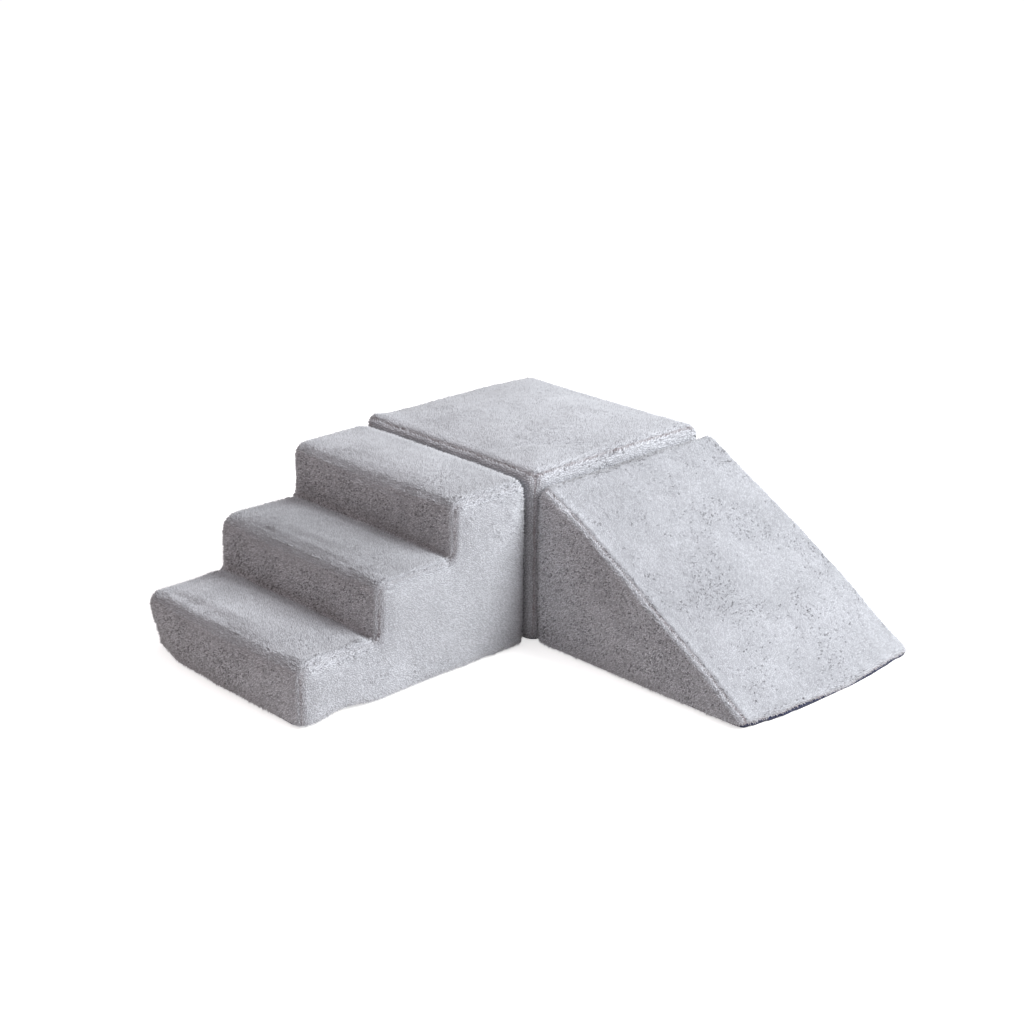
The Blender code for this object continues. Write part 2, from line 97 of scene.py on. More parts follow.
def add_node(tree, kind, inputs=None, **settings):
    """Adds a node with its settings. An input is given by name or place, as a value, an output or a node,
    which stands for its first output."""
    node = tree.nodes.new(kind)
    for name, value in settings.items():
        setattr(node, name, value)
    for name, value in (inputs or {}).items():
        if isinstance(value, bpy.types.Node):
            value = value.outputs[0]
        if isinstance(value, bpy.types.NodeSocket):
            tree.links.new(value, node.inputs[name])
        else:
            node.inputs[name].default_value = value
    return node


def new_material(name):
    """A new material, its empty node tree, and the object coordinates that its pattern is laid out by."""
    material = bpy.data.materials.new(name)
    material.use_nodes = True
    tree = material.node_tree
    tree.nodes.clear()
    return material, tree, add_node(tree, "ShaderNodeTexCoord").outputs["Object"]


def add_piece(name, mesh):
    item = bpy.data.objects.new(name, mesh)
    scene.collection.objects.link(item)
    return item


def mesh_of(form, name):
    """Writes a form into a new mesh, and frees the form."""
    mesh = bpy.data.meshes.new(name)
    form.to_mesh(mesh)
    form.free()
    return mesh


matt_floor, tree, _ = new_material("matt_white_studio_floor")
path = add_node(tree, "ShaderNodeLightPath")
paint = add_node(tree, "ShaderNodeBsdfDiffuse", {"Color": colour("#EDEBEA")})
seen = add_node(tree, "ShaderNodeMath", {0: path.outputs["Is Camera Ray"], 1: 0.66}, operation="MULTIPLY")
lift = add_node(tree, "ShaderNodeEmission", {"Color": colour("#FFFFFF"), "Strength": seen})
both = add_node(tree, "ShaderNodeAddShader", {0: paint, 1: lift})
add_node(tree, "ShaderNodeOutputMaterial", {"Surface": both})

form = bmesh.new()
bmesh.ops.create_circle(form, cap_ends=True, segments=64, radius=14.0)
floor = add_piece("floor", mesh_of(form, "floor"))
floor.data.materials.append(matt_floor)

world = bpy.data.worlds.new("studio")
scene.world = world
world.use_nodes = True
tree = world.node_tree
tree.nodes.clear()
path = add_node(tree, "ShaderNodeLightPath")
room = add_node(tree, "ShaderNodeBackground", {"Color": colour("#F8F1F1"), "Strength": 0.47})
white = add_node(tree, "ShaderNodeBackground", {"Color": colour("#FFFFFF")})
pick = add_node(tree, "ShaderNodeMixShader", {0: path.outputs["Is Camera Ray"], 1: room, 2: white})
add_node(tree, "ShaderNodeOutputWorld", {"Surface": pick})


def add_lamp(name, place, target, size, power, tint):
    light = bpy.data.lights.new(name, "AREA")
    light.shape, light.size, light.size_y = "RECTANGLE", size[0], size[1]
    light.energy, light.color = power, colour(tint)[:3]
    lamp = add_piece(name, light)
    lamp.location = place
    lamp.rotation_mode = "QUATERNION"
    lamp.rotation_quaternion = (Vector(target) - Vector(place)).to_track_quat("-Z", "Y")


add_lamp("window_light", (3.6, 1.6, 3.0), (0.1, -0.1, 0.1), (2.6, 2.2), 341, "#F6FAFB")
add_lamp("ceiling_light", (-0.3, -0.3, 3.2), (0.1, -0.2, 0.2), (3.0, 3.0), 22, "#F6F8FF")
add_lamp("room_light", (-0.6, -4.2, 1.8), (0.0, -0.2, 0.15), (3.0, 2.0), 17, "#FFDDD2")

# Foam cores: one block of open-cell polyurethane foam in each cover, cut with a hot wire. They carry the
# child and give the blocks their shape. Only an open zip would show them: cream, matt, with cut pores.


def finish_material(tree, pattern, low, high, surface, gloss=None, relief=None):
    """Colours a surface from one tone to another by its pattern. The roughness can follow the pattern too,
    and the relief is a pattern with its strength and depth."""
    tone = add_node(tree, "ShaderNodeMix", {0: pattern, 6: colour(low), 7: colour(high)}, data_type="RGBA")
    inputs = {"Base Color": tone.outputs[2], **surface}
    if gloss:
        inputs["Roughness"] = add_node(tree, "ShaderNodeMapRange", {
            "Value": pattern, "From Min": 0.3, "From Max": 0.7, "To Min": gloss[0], "To Max": gloss[1],
        })
    if relief:
        height, strength, depth = relief
        inputs["Normal"] = add_node(tree, "ShaderNodeBump", {
            "Height": height, "Strength": strength, "Distance": depth,
        })
    shader = add_node(tree, "ShaderNodeBsdfPrincipled", inputs)
    add_node(tree, "ShaderNodeOutputMaterial", {"Surface": shader})


foam, tree, where = new_material("open_cell_polyurethane_foam")
pores = add_node(tree, "ShaderNodeTexVoronoi", {"Vector": where, "Scale": 620.0})
open_share = add_node(tree, "ShaderNodeMapRange", {"Value": pores, "From Min": 0.1, "From Max": 0.55})
finish_material(tree, open_share, "#D9D2BC", "#F1EDE0", {"Roughness": 0.95, "Specular IOR Level": 0.2},
                relief=(open_share, 0.5, 0.0008))


def plain_mesh(item, name):
    """Turns an object into the plain mesh that it shows with its modifiers. The object itself goes."""
    bpy.context.view_layer.update()
    shown = item.evaluated_get(bpy.context.evaluated_depsgraph_get())
    mesh = bpy.data.meshes.new_from_object(shown)
    mesh.name = name
    bpy.data.objects.remove(item)
    return mesh


def even_skin(nodes, spacing):
    """One closed skin of even squares over CAD nodes that touch, with its steps smoothed away."""
    form = bmesh.new()
    for node in nodes:
        form.from_mesh(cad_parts[node].data)
    item = add_piece("rough", mesh_of(form, "rough"))
    even = item.modifiers.new("even", "REMESH")
    even.mode, even.voxel_size = "VOXEL", spacing
    relax = item.modifiers.new("relax", "SMOOTH")
    relax.factor, relax.iterations = 0.5, 4
    form = bmesh.new()
    form.from_mesh(plain_mesh(item, "skin"))
    left, shells = set(form.verts), []
    while left:
        shell, front = set(), [left.pop()]
        while front:
            spot = front.pop()
            shell.add(spot)
            for edge in spot.link_edges:
                other = edge.other_vert(spot)
                if other in left:
                    left.remove(other)
                    front.append(other)
        shells.append(shell)
    shells.sort(key=len)
    bmesh.ops.delete(form, geom=[spot for shell in shells[:-1] for spot in shell], context="VERTS")
    return form


def bump_at(distance, middle, width):
    return math.exp(-((distance - middle) / width) ** 2)


def creased(here, creases):
    """How far the cover is pressed in at a point by its creases, each a line from start to end with its
    depth and the share of it that the cover stands up beside the line."""
    depth = 0.0
    for start, end, deep, beside in creases:
        start, end = Vector(start), Vector(end)
        line = end - start
        share = min(max((here - start).dot(line) / line.length_squared, 0.0), 1.0)
        nearest = start + line * share + Vector((0, 0.004, 0)) * noise.noise(here * 16.0)
        away = (here - nearest).length
        fade = math.sin(math.pi * min(max(share, 0.03), 0.97)) ** 0.5
        depth += deep * fade * (bump_at(away, 0.0, 0.0065) - beside * bump_at(away, 0.014, 0.007))
    return depth


inner_corners = [
    ((-0.60, -0.5369, 0.107), (0.60, -0.5369, 0.107), 0.0062, 0.1),
    ((-0.60, -0.3809, 0.199), (0.60, -0.3809, 0.199), 0.0062, 0.1),
]
for block in ("corner", "stairs", "slide"):
    form = even_skin([f"{block}_foam_core"], 0.010)
    form.normal_update()
    for spot in form.verts:
        tucked = 1.4 * creased(spot.co, inner_corners) if block == "stairs" else 0.0
        spot.co -= spot.normal * (0.0012 + 0.0006 * noise.noise(spot.co * 60.0) + tucked)
    for face in form.faces:
        face.smooth = True
    core = add_piece(f"{block}_cut_foam", mesh_of(form, f"{block}_cut_foam"))
    core.data.materials.append(foam)
    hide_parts(f"{block}_foam_core")
    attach(core, f"{block}_block")

# Plush covers: a warp-knitted polyester fleece with a short brushed pile on a thin knitted back. The eye
# sees a matt felt of fine tufts with cloudy patches. Its colour also carries painted shade at the roots,
# in the pits where the tufts part and along each seam, painted shade and light on whole panels and in
# listed patches, and a painted highlight on ridges and sharp edges.

pile_plush, tree, where = new_material("brushed_polyester_fleece")
height, tuft_tone_and_shade, ridge_highlight, seam = [add_node(tree, "ShaderNodeAttribute", attribute_name=word).outputs["Fac"]
                               for word in ("height", "shade", "ridge_highlight", "seam")]
patches = add_node(tree, "ShaderNodeTexNoise", {
    "Vector": where, "Scale": 11.0, "Detail": 4.0, "Roughness": 0.6,
})
# Each tuft runs from a darker root to a lighter tip, and the cloth between tufts takes the root colour: painted
# shade down in the pile.
tone = add_node(tree, "ShaderNodeMix", {
    0: height, 6: colour("#ABABB1"), 7: colour("#E0E2E7"),
}, data_type="RGBA")
cloud = add_node(tree, "ShaderNodeMapRange", {
    "Value": patches, "From Min": 0.3, "From Max": 0.7, "To Min": 0.90, "To Max": 1.05,
})
# The tufts' shade value scales their colour: a random tone with painted shade and light in it.
vary = add_node(tree, "ShaderNodeMapRange", {
    "Value": tuft_tone_and_shade, "From Min": -3.0, "From Max": 2.0, "To Min": 0.25, "To Max": 1.25,
})
# Pile on seam ridges and sharp bends is painted lighter: a painted highlight.
painted_highlight = add_node(tree, "ShaderNodeMapRange", {"Value": ridge_highlight, "To Min": 1.0, "To Max": 1.07})
both = add_node(tree, "ShaderNodeMath", {0: cloud, 1: vary}, operation="MULTIPLY")
amount = add_node(tree, "ShaderNodeMath", {0: both, 1: painted_highlight}, operation="MULTIPLY")
tint = add_node(tree, "ShaderNodeMix", {
    0: 1.0, 6: tone.outputs[2], 7: amount,
}, data_type="RGBA", blend_type="MULTIPLY")
# A thin darker line along each seam, towards #857A7C: painted shade in the seam's groove.
seam_shade_share = add_node(tree, "ShaderNodeMath", {0: seam, 1: 0.75}, operation="MULTIPLY")
sewn = add_node(tree, "ShaderNodeMix", {0: seam_shade_share, 6: tint.outputs[2], 7: colour("#857A7C")}, data_type="RGBA")
shader = add_node(tree, "ShaderNodeBsdfPrincipled", {
    "Base Color": sewn.outputs[2], "Roughness": 0.92, "Specular IOR Level": 0.2,
    "Sheen Weight": 0.2,
})
add_node(tree, "ShaderNodeOutputMaterial", {"Surface": shader})

knit_back, tree, where = new_material("knitted_fleece_back")
loops = add_node(tree, "ShaderNodeTexVoronoi", {"Vector": where, "Scale": 650.0})
finish_material(tree, loops, "#B9BBC2", "#8E9098", {"Roughness": 0.9, "Specular IOR Level": 0.2})

backing_depth = 0.0020  # the knitted back lies this far below the tips of the pile
off_floor = 0.0008
near_face = 0.01  # a point this near a panel's plane counts as on the panel
half_strip = (0.150, 0.015)  # a hook or loop strip, in length and in width
zip_height, zip_half = 0.042, 0.0085
window = 1  # the zip's opening is this panel number in every block


def cut_into_panels(form, panels, planes, finer):
    """Cuts the skin along its seam planes and marks each face with the panel it belongs to."""
    beside, snap_reach = 0.003, 0.0009
    close = [(axis, value + side * beside) for axis, value in finer for side in (-1, 1)]
    for axis, value in [*planes, *close]:
        for spot in form.verts:
            if abs(spot.co[axis] - value) < snap_reach:
                spot.co[axis] = value
        normal = Vector((0, 0, 0))
        normal[axis] = 1.0
        bmesh.ops.bisect_plane(form, geom=form.verts[:] + form.edges[:] + form.faces[:], dist=1e-5,
                               plane_co=normal * value, plane_no=normal)
    mark = form.faces.layers.int.new("panel")
    for face in form.faces:
        middle = face.calc_center_median()
        outside = [
            sum(max(low[axis] - middle[axis], middle[axis] - high[axis], 0.0) for axis in range(3))
            + (1.0 if number == window else 0.0) * (middle.z != min(max(middle.z, low[2]), high[2]))
            for number, (low, high) in enumerate(panels)
        ]
        face[mark] = outside.index(min(outside))
    return mark


def sewn_edges(form, mark):
    for edge in form.edges:
        sides = [face[mark] for face in edge.link_faces]
        if len(sides) == 2 and sides[0] != sides[1] and window not in sides:
            yield edge


def seam_tree(form, mark):
    """The seam lines as closely set points, to measure how far the skin is from its nearest seam."""
    spots, point_gap = [], 0.0015
    for edge in sewn_edges(form, mark):
        start, end = edge.verts[0].co, edge.verts[1].co
        steps = max(1, int((end - start).length / point_gap))
        spots += [start.lerp(end, step / steps) for step in range(steps + 1)]
    seams = KDTree(len(spots))
    for number, spot in enumerate(spots):
        seams.insert(spot, number)
    seams.balance()
    return seams


def nearness(here, centre, reach):
    """How near a point is to a centre: 1 at the centre and 0 well beyond its reach."""
    return math.exp(-sum(((here[axis] - centre[axis]) / reach[axis]) ** 2 for axis in range(3)))


def pulled(here, pulls):
    """Moves a point by the places where the sewing or the foam pulls the cover out of true."""
    moved = here.copy()
    for centre, reach, move in pulls:
        moved += Vector(move) * nearness(here, centre, reach)
    return moved


def press_out(form, mark, fixed):
    """Lets the foam press the cover out between its seams, by a cloth simulation of a coarser copy that is
    fixed at its seams, its foot and wherever fixed says."""
    frames, furthest, slack, sewn_reach, foot_height = 20, 0.004, 0.0015, 0.024, 0.012
    seams = seam_tree(form, mark)
    mesh = bpy.data.meshes.new("loose_cover")
    form.to_mesh(mesh)
    item = add_piece("loose_cover", mesh)
    even = item.modifiers.new("even", "REMESH")
    even.mode, even.voxel_size = "VOXEL", 0.012
    cover = add_piece("cover", plain_mesh(item, "cover"))
    sewn = cover.vertex_groups.new(name="sewn")
    before, share_fixed = [], []
    for spot in cover.data.vertices:
        here = spot.co.copy()
        share = min(max(1.25 - seams.find(here)[2] / sewn_reach, 0.0), 1.0)
        if here.z < foot_height or fixed(here):
            share = 1.0
        sewn.add([spot.index], share, "REPLACE")
        before.append(here)
        share_fixed.append(share)
    for spot, share in zip(cover.data.vertices, share_fixed):
        spot.co = before[spot.index] - spot.normal * slack * (1 - share)
    cloth = cover.modifiers.new("cloth", "CLOTH")
    cloth.settings.quality, cloth.settings.mass, cloth.settings.air_damping = 4, 0.25, 4.0
    cloth.settings.tension_stiffness = cloth.settings.compression_stiffness = 20.0
    cloth.settings.shear_stiffness, cloth.settings.bending_stiffness = 8.0, 1.0
    cloth.settings.vertex_group_mass = "sewn"
    cloth.settings.use_pressure, cloth.settings.uniform_pressure_force = True, 4.0
    cloth.settings.effector_weights.gravity = 0.0
    cloth.point_cache.frame_start, cloth.point_cache.frame_end = 1, frames
    for step in range(1, frames + 1):
        scene.frame_set(step)
    pressed = plain_mesh(cover, "pressed")
    moves = [after.co - start for after, start in zip(pressed.vertices, before)]
    scene.frame_set(1)
    neighbours, blur = 18, 0.017
    nearby = KDTree(len(before))
    for number, start in enumerate(before):
        nearby.insert(start, number)
    nearby.balance()
    for spot in form.verts:
        found = nearby.find_n(spot.co, neighbours)
        weights = [math.exp(-(away / blur) ** 2) for _, _, away in found]
        move = sum((moves[number] * weight for (_, number, _), weight in zip(found, weights)), Vector())
        move /= sum(weights)
        spot.co += move * min(1.0, furthest / max(move.length, 1e-6))


def shape_skin(form, mark, held=(), calm=(), pulls=(), creases=(), turned=(), folds=(), toe=10.0):
    """Sets the knitted back below the pile's tips, with a groove and two ridges along each seam, and
    works out how the pile grows: how densely, how tall and which way it lies. It also marks where its
    colour carries painted shade, in its pits, along the seams and in listed patches, which can be painted
    lighter too, and a painted highlight on ridges and sharp bends."""
    seams = seam_tree(form, mark)
    form.normal_update()
    for spot in form.verts:
        wander = noise.noise_vector(spot.co * 21.0) * 0.0016 * bump_at(seams.find(spot.co)[2], 0.0, 0.009)
        aside = (wander - spot.normal * wander.dot(spot.normal)) * (spot.co.z > 0.006)
        spot.co = pulled(spot.co + aside, pulls)
    seams = seam_tree(form, mark)
    form.normal_update()
    edge_facing = KDTree(len(form.verts))
    for edge in sewn_edges(form, mark):
        edge_facing.insert(edge.verts[0].co, edge.verts[0].index)
    edge_facing.balance()
    form.verts.ensure_lookup_table()
    layer = form.verts.layers.float
    dense, tall, ridge_highlight, painted_seam_shade, painted_pit_shade, painted_patches = [
        layer.new(word) for word in ("dense", "tall", "ridge_highlight", "seam", "painted_pit_shade", "turned")]
    nap, facing = [form.verts.layers.float_vector.new(word) for word in ("nap", "facing")]
    groove_width, ridge_away, ridge_width, rolled_edge = 0.0017, 0.0060, 0.0045, 0.0105
    moved, rounded = [], []
    for spot in form.verts:
        here, out = spot.co, spot.normal
        seam, _, distance = seams.find(here)
        kept = max((hold(here) for hold in held), default=0.0)
        still = max((quiet(here) for quiet in calm), default=0.0)
        bare = min(max((here.x - toe) / 0.04, 0.0), 1.0)
        flat = 1.0 if here.z < 0.0016 and out.z < -0.5 else 0.0
        # The knitted back: lumpy, puffed up beside each seam and drawn in along it.
        uneven = noise.noise(here * 24.0)
        lumps = noise.noise(here * 9.0) * 0.0010 + uneven * 0.0008 + noise.noise(here * 62.0) * 0.0005
        puff = 0.0008 * (1 + 0.8 * noise.noise(here * 45.0)) * bump_at(distance, ridge_away, ridge_width)
        groove = 0.0011 * (1 + 0.9 * uneven) * bump_at(distance, 0.0, groove_width)
        groove *= 1 - bare * bump_at(here.z, 0.0, 0.02)
        bends = []  # how sharply the skin turns here: 0 on a soft curve and 1 on a corner
        for edge in spot.link_edges:
            other = edge.other_vert(spot)
            bends.append((out - other.normal).dot(here - other.co) / edge.calc_length() ** 2)
        bend = min(max(sum(bends) / len(bends) / 9 - 1.55, 0.0), 1.0) * (1 - kept) * (1 - still)
        shift = (-backing_depth + lumps * (1 - still) + puff * (1 - still)) * (1 - kept) - groove
        shift -= creased(here, creases)
        moved.append(here + out * shift * (1 - flat))
        # The way the pile lies: brushed about, over the seams, and down to the floor at the foot.
        away = here - seam
        away = away - out * away.dot(out)
        brushed = noise.noise_vector(here * 10.0) + noise.noise_vector(here * 34.0) * 0.7
        lie = Vector((0, 0, -0.2)) + brushed * 0.45
        if away.length > 1e-5:
            lie -= away.normalized() * bump_at(distance, 0.0, 0.004) * 1.1
        hang = bump_at(here.z, 0.003, 0.006) * (1 - bare) if abs(out.z) < 0.8 else 0.0
        lie.z -= 2.2 * hang
        if calm:
            lie.z += 1.5 * still * (1 if here.z > zip_height else -1)
        spot[nap] = lie - out * lie.dot(out)
        spot[dense] = 1.0 if kept < 0.05 else 0.0
        fluff = bump_at(distance, 0.0055, ridge_width)
        spot[tall] = (1.0 + 0.5 * max(fluff, bend) + 0.5 * hang) * (1 - 0.5 * still)
        # A painted highlight on seam ridges and sharp bends.
        spot[ridge_highlight] = max(fluff, 0.8 * bend) * (0.7 + 0.6 * noise.noise(here * 50.0))
        # Where the pile parts into pits, painted darker as painted shade: most on steep faces, least beside a
        # seam.
        steep = min(max(1.3 - out.z / 0.6, 0.0), 1.0)
        folded = []
        for start, _, _, _ in folds:
            deep, high = here.y - start[1], here.z - start[2]
            away_from_fold = math.hypot(deep, high)
            share = math.exp(-(away_from_fold / 0.016) ** 4) * (1 - bump_at(distance, 0.0, 0.012))
            folded.append((0.85 * share, Vector((0, -1, 0)) if high + deep > 0 else Vector((0, 0, 1))))
            if share > 0.3:
                steep = 1.0 if high + deep > 0 else 0.0
        patch = noise.noise(here * 13.0)
        spot[painted_pit_shade] = max(0.45 * bend, 0.70 * steep * (1 + 0.5 * patch), 0.17 * (1 + 0.6 * patch))
        spot[painted_pit_shade] *= 1 - 0.65 * bump_at(distance, 0.004, 0.009)
        # Painted shade, or painted light where the value is below 0, in listed patches.
        spot[painted_patches] = sum(shade * nearness(here, centre, reach) for centre, reach, shade in turned)
        sewn_facing = form.verts[edge_facing.find(seam)[1]].normal.copy()
        # Painted shade along each seam's groove; on the stairs less where the seam faces up.
        spot[painted_seam_shade] = bump_at(distance, 0.0, 0.0015) * (1 - hang) * (0.8 + 0.6 * noise.noise(here * 70.0))
        if folds:
            spot[painted_seam_shade] *= 1 - 0.9 * max(sewn_facing.z, 0.0)
        # The way that rolled edges and folds face the light, so that they turn softly.
        upwards = min(max(1 + 5 * (sewn_facing.z - out.z), 0.1), 1.0)
        choices = [(0.9 * math.exp(-(distance / rolled_edge) ** 4) * upwards * (1 - hang) * (1 - kept),
                    sewn_facing + Vector((0, 0, 0.4 * (1 - hang))))]
        if folds and out.z > 0.5 and distance > 0.010:
            choices.append((0.6, Vector((0, 0, 1))))
        share, towards = max(choices + folded, key=lambda choice: choice[0])
        rounded.append((spot, towards.normalized(), share))
    for spot, place in zip(form.verts, moved):
        spot.co = place
    form.normal_update()
    for spot, towards, share in rounded:
        spot[facing] = spot.normal.lerp(towards, share).normalized()


def take_panel(form, mark, number, name):
    part = form.copy()
    own = part.faces.layers.int["panel"]
    bmesh.ops.delete(part, geom=[face for face in part.faces if face[own] != number], context="FACES")
    for face in part.faces:
        face.smooth = True
    return mesh_of(part, name)


# The pile: tufts of fibre set all over a panel's outer face. Each is a slim three-sided cone that leans
# with the nap and towards its clump. Real tufts stand under 1 mm apart, too fine to show: these are wider.


def new_group(name, inputs, output):
    """A Geometry Nodes group with its inputs, each a name, a kind and a first value, and one output."""
    group = bpy.data.node_groups.new(name, "GeometryNodeTree")
    identifiers = {}
    for label, kind, value in inputs:
        socket = group.interface.new_socket(label, in_out="INPUT", socket_type=f"NodeSocket{kind}")
        identifiers[label] = socket.identifier
        if value is not None:
            socket.default_value = value
    group.interface.new_socket(output, in_out="OUTPUT", socket_type="NodeSocketGeometry")
    return group, identifiers, add_node(group, "NodeGroupInput").outputs


def use_group(item, group, identifiers, values):
    """Puts a Geometry Nodes group on an object, with the values of its inputs."""
    user = item.modifiers.new(group.name, "NODES")
    user.node_group = group
    for label, value in values.items():
        user[identifiers[label]] = value


pile_group, pile_inputs, given = new_group("plush_pile", (
    ("Panel", "Geometry", None), ("Tuft Spacing", "Float", 0.0018), ("Tuft Length", "Float", 0.0032),
    ("Tuft Radius", "Float", 0.0012), ("Lean", "Float", 0.6), ("Clumping", "Float", 0.9),
    ("Spread", "Float", 0.3), ("Brushed Along", "Vector", (0, 0, 0)), ("Painted Panel Shade", "Float", 0.0),
    ("Pit Shade Depth", "Float", 1.2), ("Seed", "Int", 7), ("Pile Material", "Material", None),
), "Plush")
tree = pile_group
slot_number = add_node(tree, "GeometryNodeInputMaterialIndex")
outer = add_node(tree, "FunctionNodeCompare", {2: slot_number, 3: 0}, data_type="INT", operation="EQUAL")
nap = add_node(tree, "GeometryNodeInputNamedAttribute", {"Name": "nap"}, data_type="FLOAT_VECTOR")
dense, tall, pit_shade_share, painted_patch_shade = [add_node(tree, "GeometryNodeInputNamedAttribute", {"Name": word})
                                   for word in ("dense", "tall", "painted_pit_shade", "turned")]
roots = add_node(tree, "GeometryNodeDistributePointsOnFaces", {
    "Mesh": given["Panel"], "Selection": outer, "Distance Min": given["Tuft Spacing"],
    "Density Max": 700000.0, "Density Factor": dense, "Seed": given["Seed"],
}, distribute_method="POISSON")
tuft = add_node(tree, "GeometryNodeMeshCone", {
    "Vertices": 3, "Radius Bottom": given["Tuft Radius"], "Depth": given["Tuft Length"],
})
spot = add_node(tree, "GeometryNodeInputPosition")
apart = add_node(tree, "ShaderNodeSeparateXYZ", {0: spot})
share = add_node(tree, "ShaderNodeMath", {0: apart.outputs["Z"], 1: given["Tuft Length"]}, operation="DIVIDE")
graded = add_node(tree, "GeometryNodeStoreNamedAttribute", {
    "Geometry": tuft, "Name": "height", "Value": share,
})
clumps = add_node(tree, "ShaderNodeTexNoise", {"Vector": spot, "Scale": 190.0, "Detail": 1.0})
centred = add_node(tree, "ShaderNodeVectorMath", {
    0: clumps.outputs["Color"], 1: (0.5, 0.5, 0.5),
}, operation="SUBTRACT")
jitter = add_node(tree, "FunctionNodeRandomValue", {
    0: (-1, -1, -1), 1: (1, 1, 1), "Seed": given["Seed"],
}, data_type="FLOAT_VECTOR")
gathered, loose, lying = [
    add_node(tree, "ShaderNodeVectorMath", {0: way, "Scale": given[label]}, operation="SCALE")
    for way, label in ((centred, "Clumping"), (jitter, "Spread"), (nap, "Lean"))]
bent = add_node(tree, "ShaderNodeVectorMath", {0: lying, 1: loose})
swept = add_node(tree, "ShaderNodeVectorMath", {0: bent, 1: gathered})
along = add_node(tree, "ShaderNodeVectorMath", {0: roots.outputs["Normal"], 1: swept})
upright = add_node(tree, "FunctionNodeAlignRotationToVector", {"Vector": along})
turn, size, chance, single = [
    add_node(tree, "FunctionNodeRandomValue", {2: least, 3: most, "Seed": given["Seed"]}).outputs[1]
    for least, most in ((0.0, 6.283), (0.8, 1.15), (0.50, 0.74), (0.0, 1.0))]
about = add_node(tree, "FunctionNodeAxisAngleToRotation", {"Angle": turn})
turned = add_node(tree, "FunctionNodeRotateRotation", {0: upright, 1: about}, rotation_space="LOCAL")
run = add_node(tree, "ShaderNodeVectorMath", {0: spot, 1: given["Brushed Along"]}, operation="DOT_PRODUCT")
most = add_node(tree, "ShaderNodeMath", {0: run.outputs["Value"], 1: 0.62}, operation="MULTIPLY")
pressed = add_node(tree, "ShaderNodeVectorMath", {0: given["Brushed Along"], "Scale": most}, operation="SCALE")
drawn = add_node(tree, "ShaderNodeVectorMath", {0: spot, 1: pressed}, operation="SUBTRACT")
parting = add_node(tree, "ShaderNodeTexNoise", {"Vector": drawn, "Scale": 360.0, "Detail": 0.0})
pits = add_node(tree, "ShaderNodeMapRange", {"Value": parting, "From Min": 0.38, "From Max": 0.54})
sunk = add_node(tree, "ShaderNodeMapRange", {"Value": pits, "To Min": 0.72, "To Max": 1.08})
length = add_node(tree, "ShaderNodeMath", {0: size, 1: tall}, operation="MULTIPLY")
reach = add_node(tree, "ShaderNodeMath", {0: length, 1: sunk}, operation="MULTIPLY")
scale = add_node(tree, "ShaderNodeCombineXYZ", {"X": size, "Y": size, "Z": reach})
tufts = add_node(tree, "GeometryNodeInstanceOnPoints", {
    "Points": roots, "Instance": graded, "Rotation": turned, "Scale": scale,
})
# Each tuft's shade value: a random tone, less the painted shade of its pit and the painted shade or light of
# its panel and of listed patches.
shade = add_node(tree, "ShaderNodeMath", {0: pits, 1: 0.22, 2: chance}, operation="MULTIPLY_ADD")
hollow = add_node(tree, "ShaderNodeMath", {0: 1.0, 1: pits}, operation="SUBTRACT")
pit_shade_amount = add_node(tree, "ShaderNodeMath", {0: pit_shade_share, 1: given["Pit Shade Depth"]}, operation="MULTIPLY")
grain = add_node(tree, "ShaderNodeMath", {0: single, 1: 2.5}, operation="POWER")
holes = add_node(tree, "ShaderNodeMath", {0: grain, 1: 1.3, 2: hollow}, operation="MULTIPLY_ADD")
uneven = add_node(tree, "ShaderNodeMath", {0: holes, 1: 0.52}, operation="SUBTRACT")
pit_shade = add_node(tree, "ShaderNodeMath", {0: uneven, 1: pit_shade_amount}, operation="MULTIPLY")
shaded_pits = add_node(tree, "ShaderNodeMath", {0: shade, 1: pit_shade}, operation="SUBTRACT")
both = add_node(tree, "ShaderNodeMath", {0: given["Painted Panel Shade"], 1: painted_patch_shade})
marked = add_node(tree, "ShaderNodeMath", {0: shaded_pits, 1: both}, operation="SUBTRACT")
shaded = add_node(tree, "GeometryNodeStoreNamedAttribute", {
    "Geometry": tufts, "Name": "shade", "Value": marked,
}, domain="INSTANCE")
real = add_node(tree, "GeometryNodeRealizeInstances", {0: shaded})
soft = add_node(tree, "GeometryNodeSetShadeSmooth", {0: real})
dyed = add_node(tree, "GeometryNodeSetMaterial", {"Geometry": soft, "Material": given["Pile Material"]})
joined = add_node(tree, "GeometryNodeJoinGeometry")
for geometry in (given["Panel"], dyed.outputs[0]):
    tree.links.new(geometry, joined.inputs[0])
add_node(tree, "NodeGroupOutput", {0: joined})


def soften_tufts(mesh, share):
    """Turns the tufts' normals towards the face they grow on, as light scattered between fibres does,
    and keeps the pile off the floor."""
    count = len(mesh.vertices)
    spots, facing, own = [np.empty(count * 3, np.float32) for _ in range(3)]
    mesh.vertices.foreach_get("co", spots)
    spots[2::3] = np.maximum(spots[2::3], off_floor)
    mesh.vertices.foreach_set("co", spots)
    mesh.attributes["facing"].data.foreach_get("vector", facing)
    mesh.vertex_normals.foreach_get("vector", own)
    turned = own.reshape(-1, 3) * (1 - share) + facing.reshape(-1, 3) * share
    turned /= np.maximum(np.linalg.norm(turned, axis=1, keepdims=True), 1e-6)
    mesh.normals_split_custom_set_from_vertices(turned)


def unroll(mesh, across, along):
    """Lays the panel out flat for its texture, so that neighbouring tufts share one even map."""
    count = len(mesh.vertices)
    spots, corners = np.empty(count * 3, np.float32), np.empty(len(mesh.loops), np.int32)
    mesh.vertices.foreach_get("co", spots)
    mesh.loops.foreach_get("vertex_index", corners)
    flat = spots.reshape(-1, 3) @ np.array([across, along], np.float32).T
    flat = (flat - flat.min(axis=0)) / (flat.max() - flat.min())
    layout = mesh.uv_layers.new(name="OFBake")
    layout.data.foreach_set("uv", flat[corners].ravel())


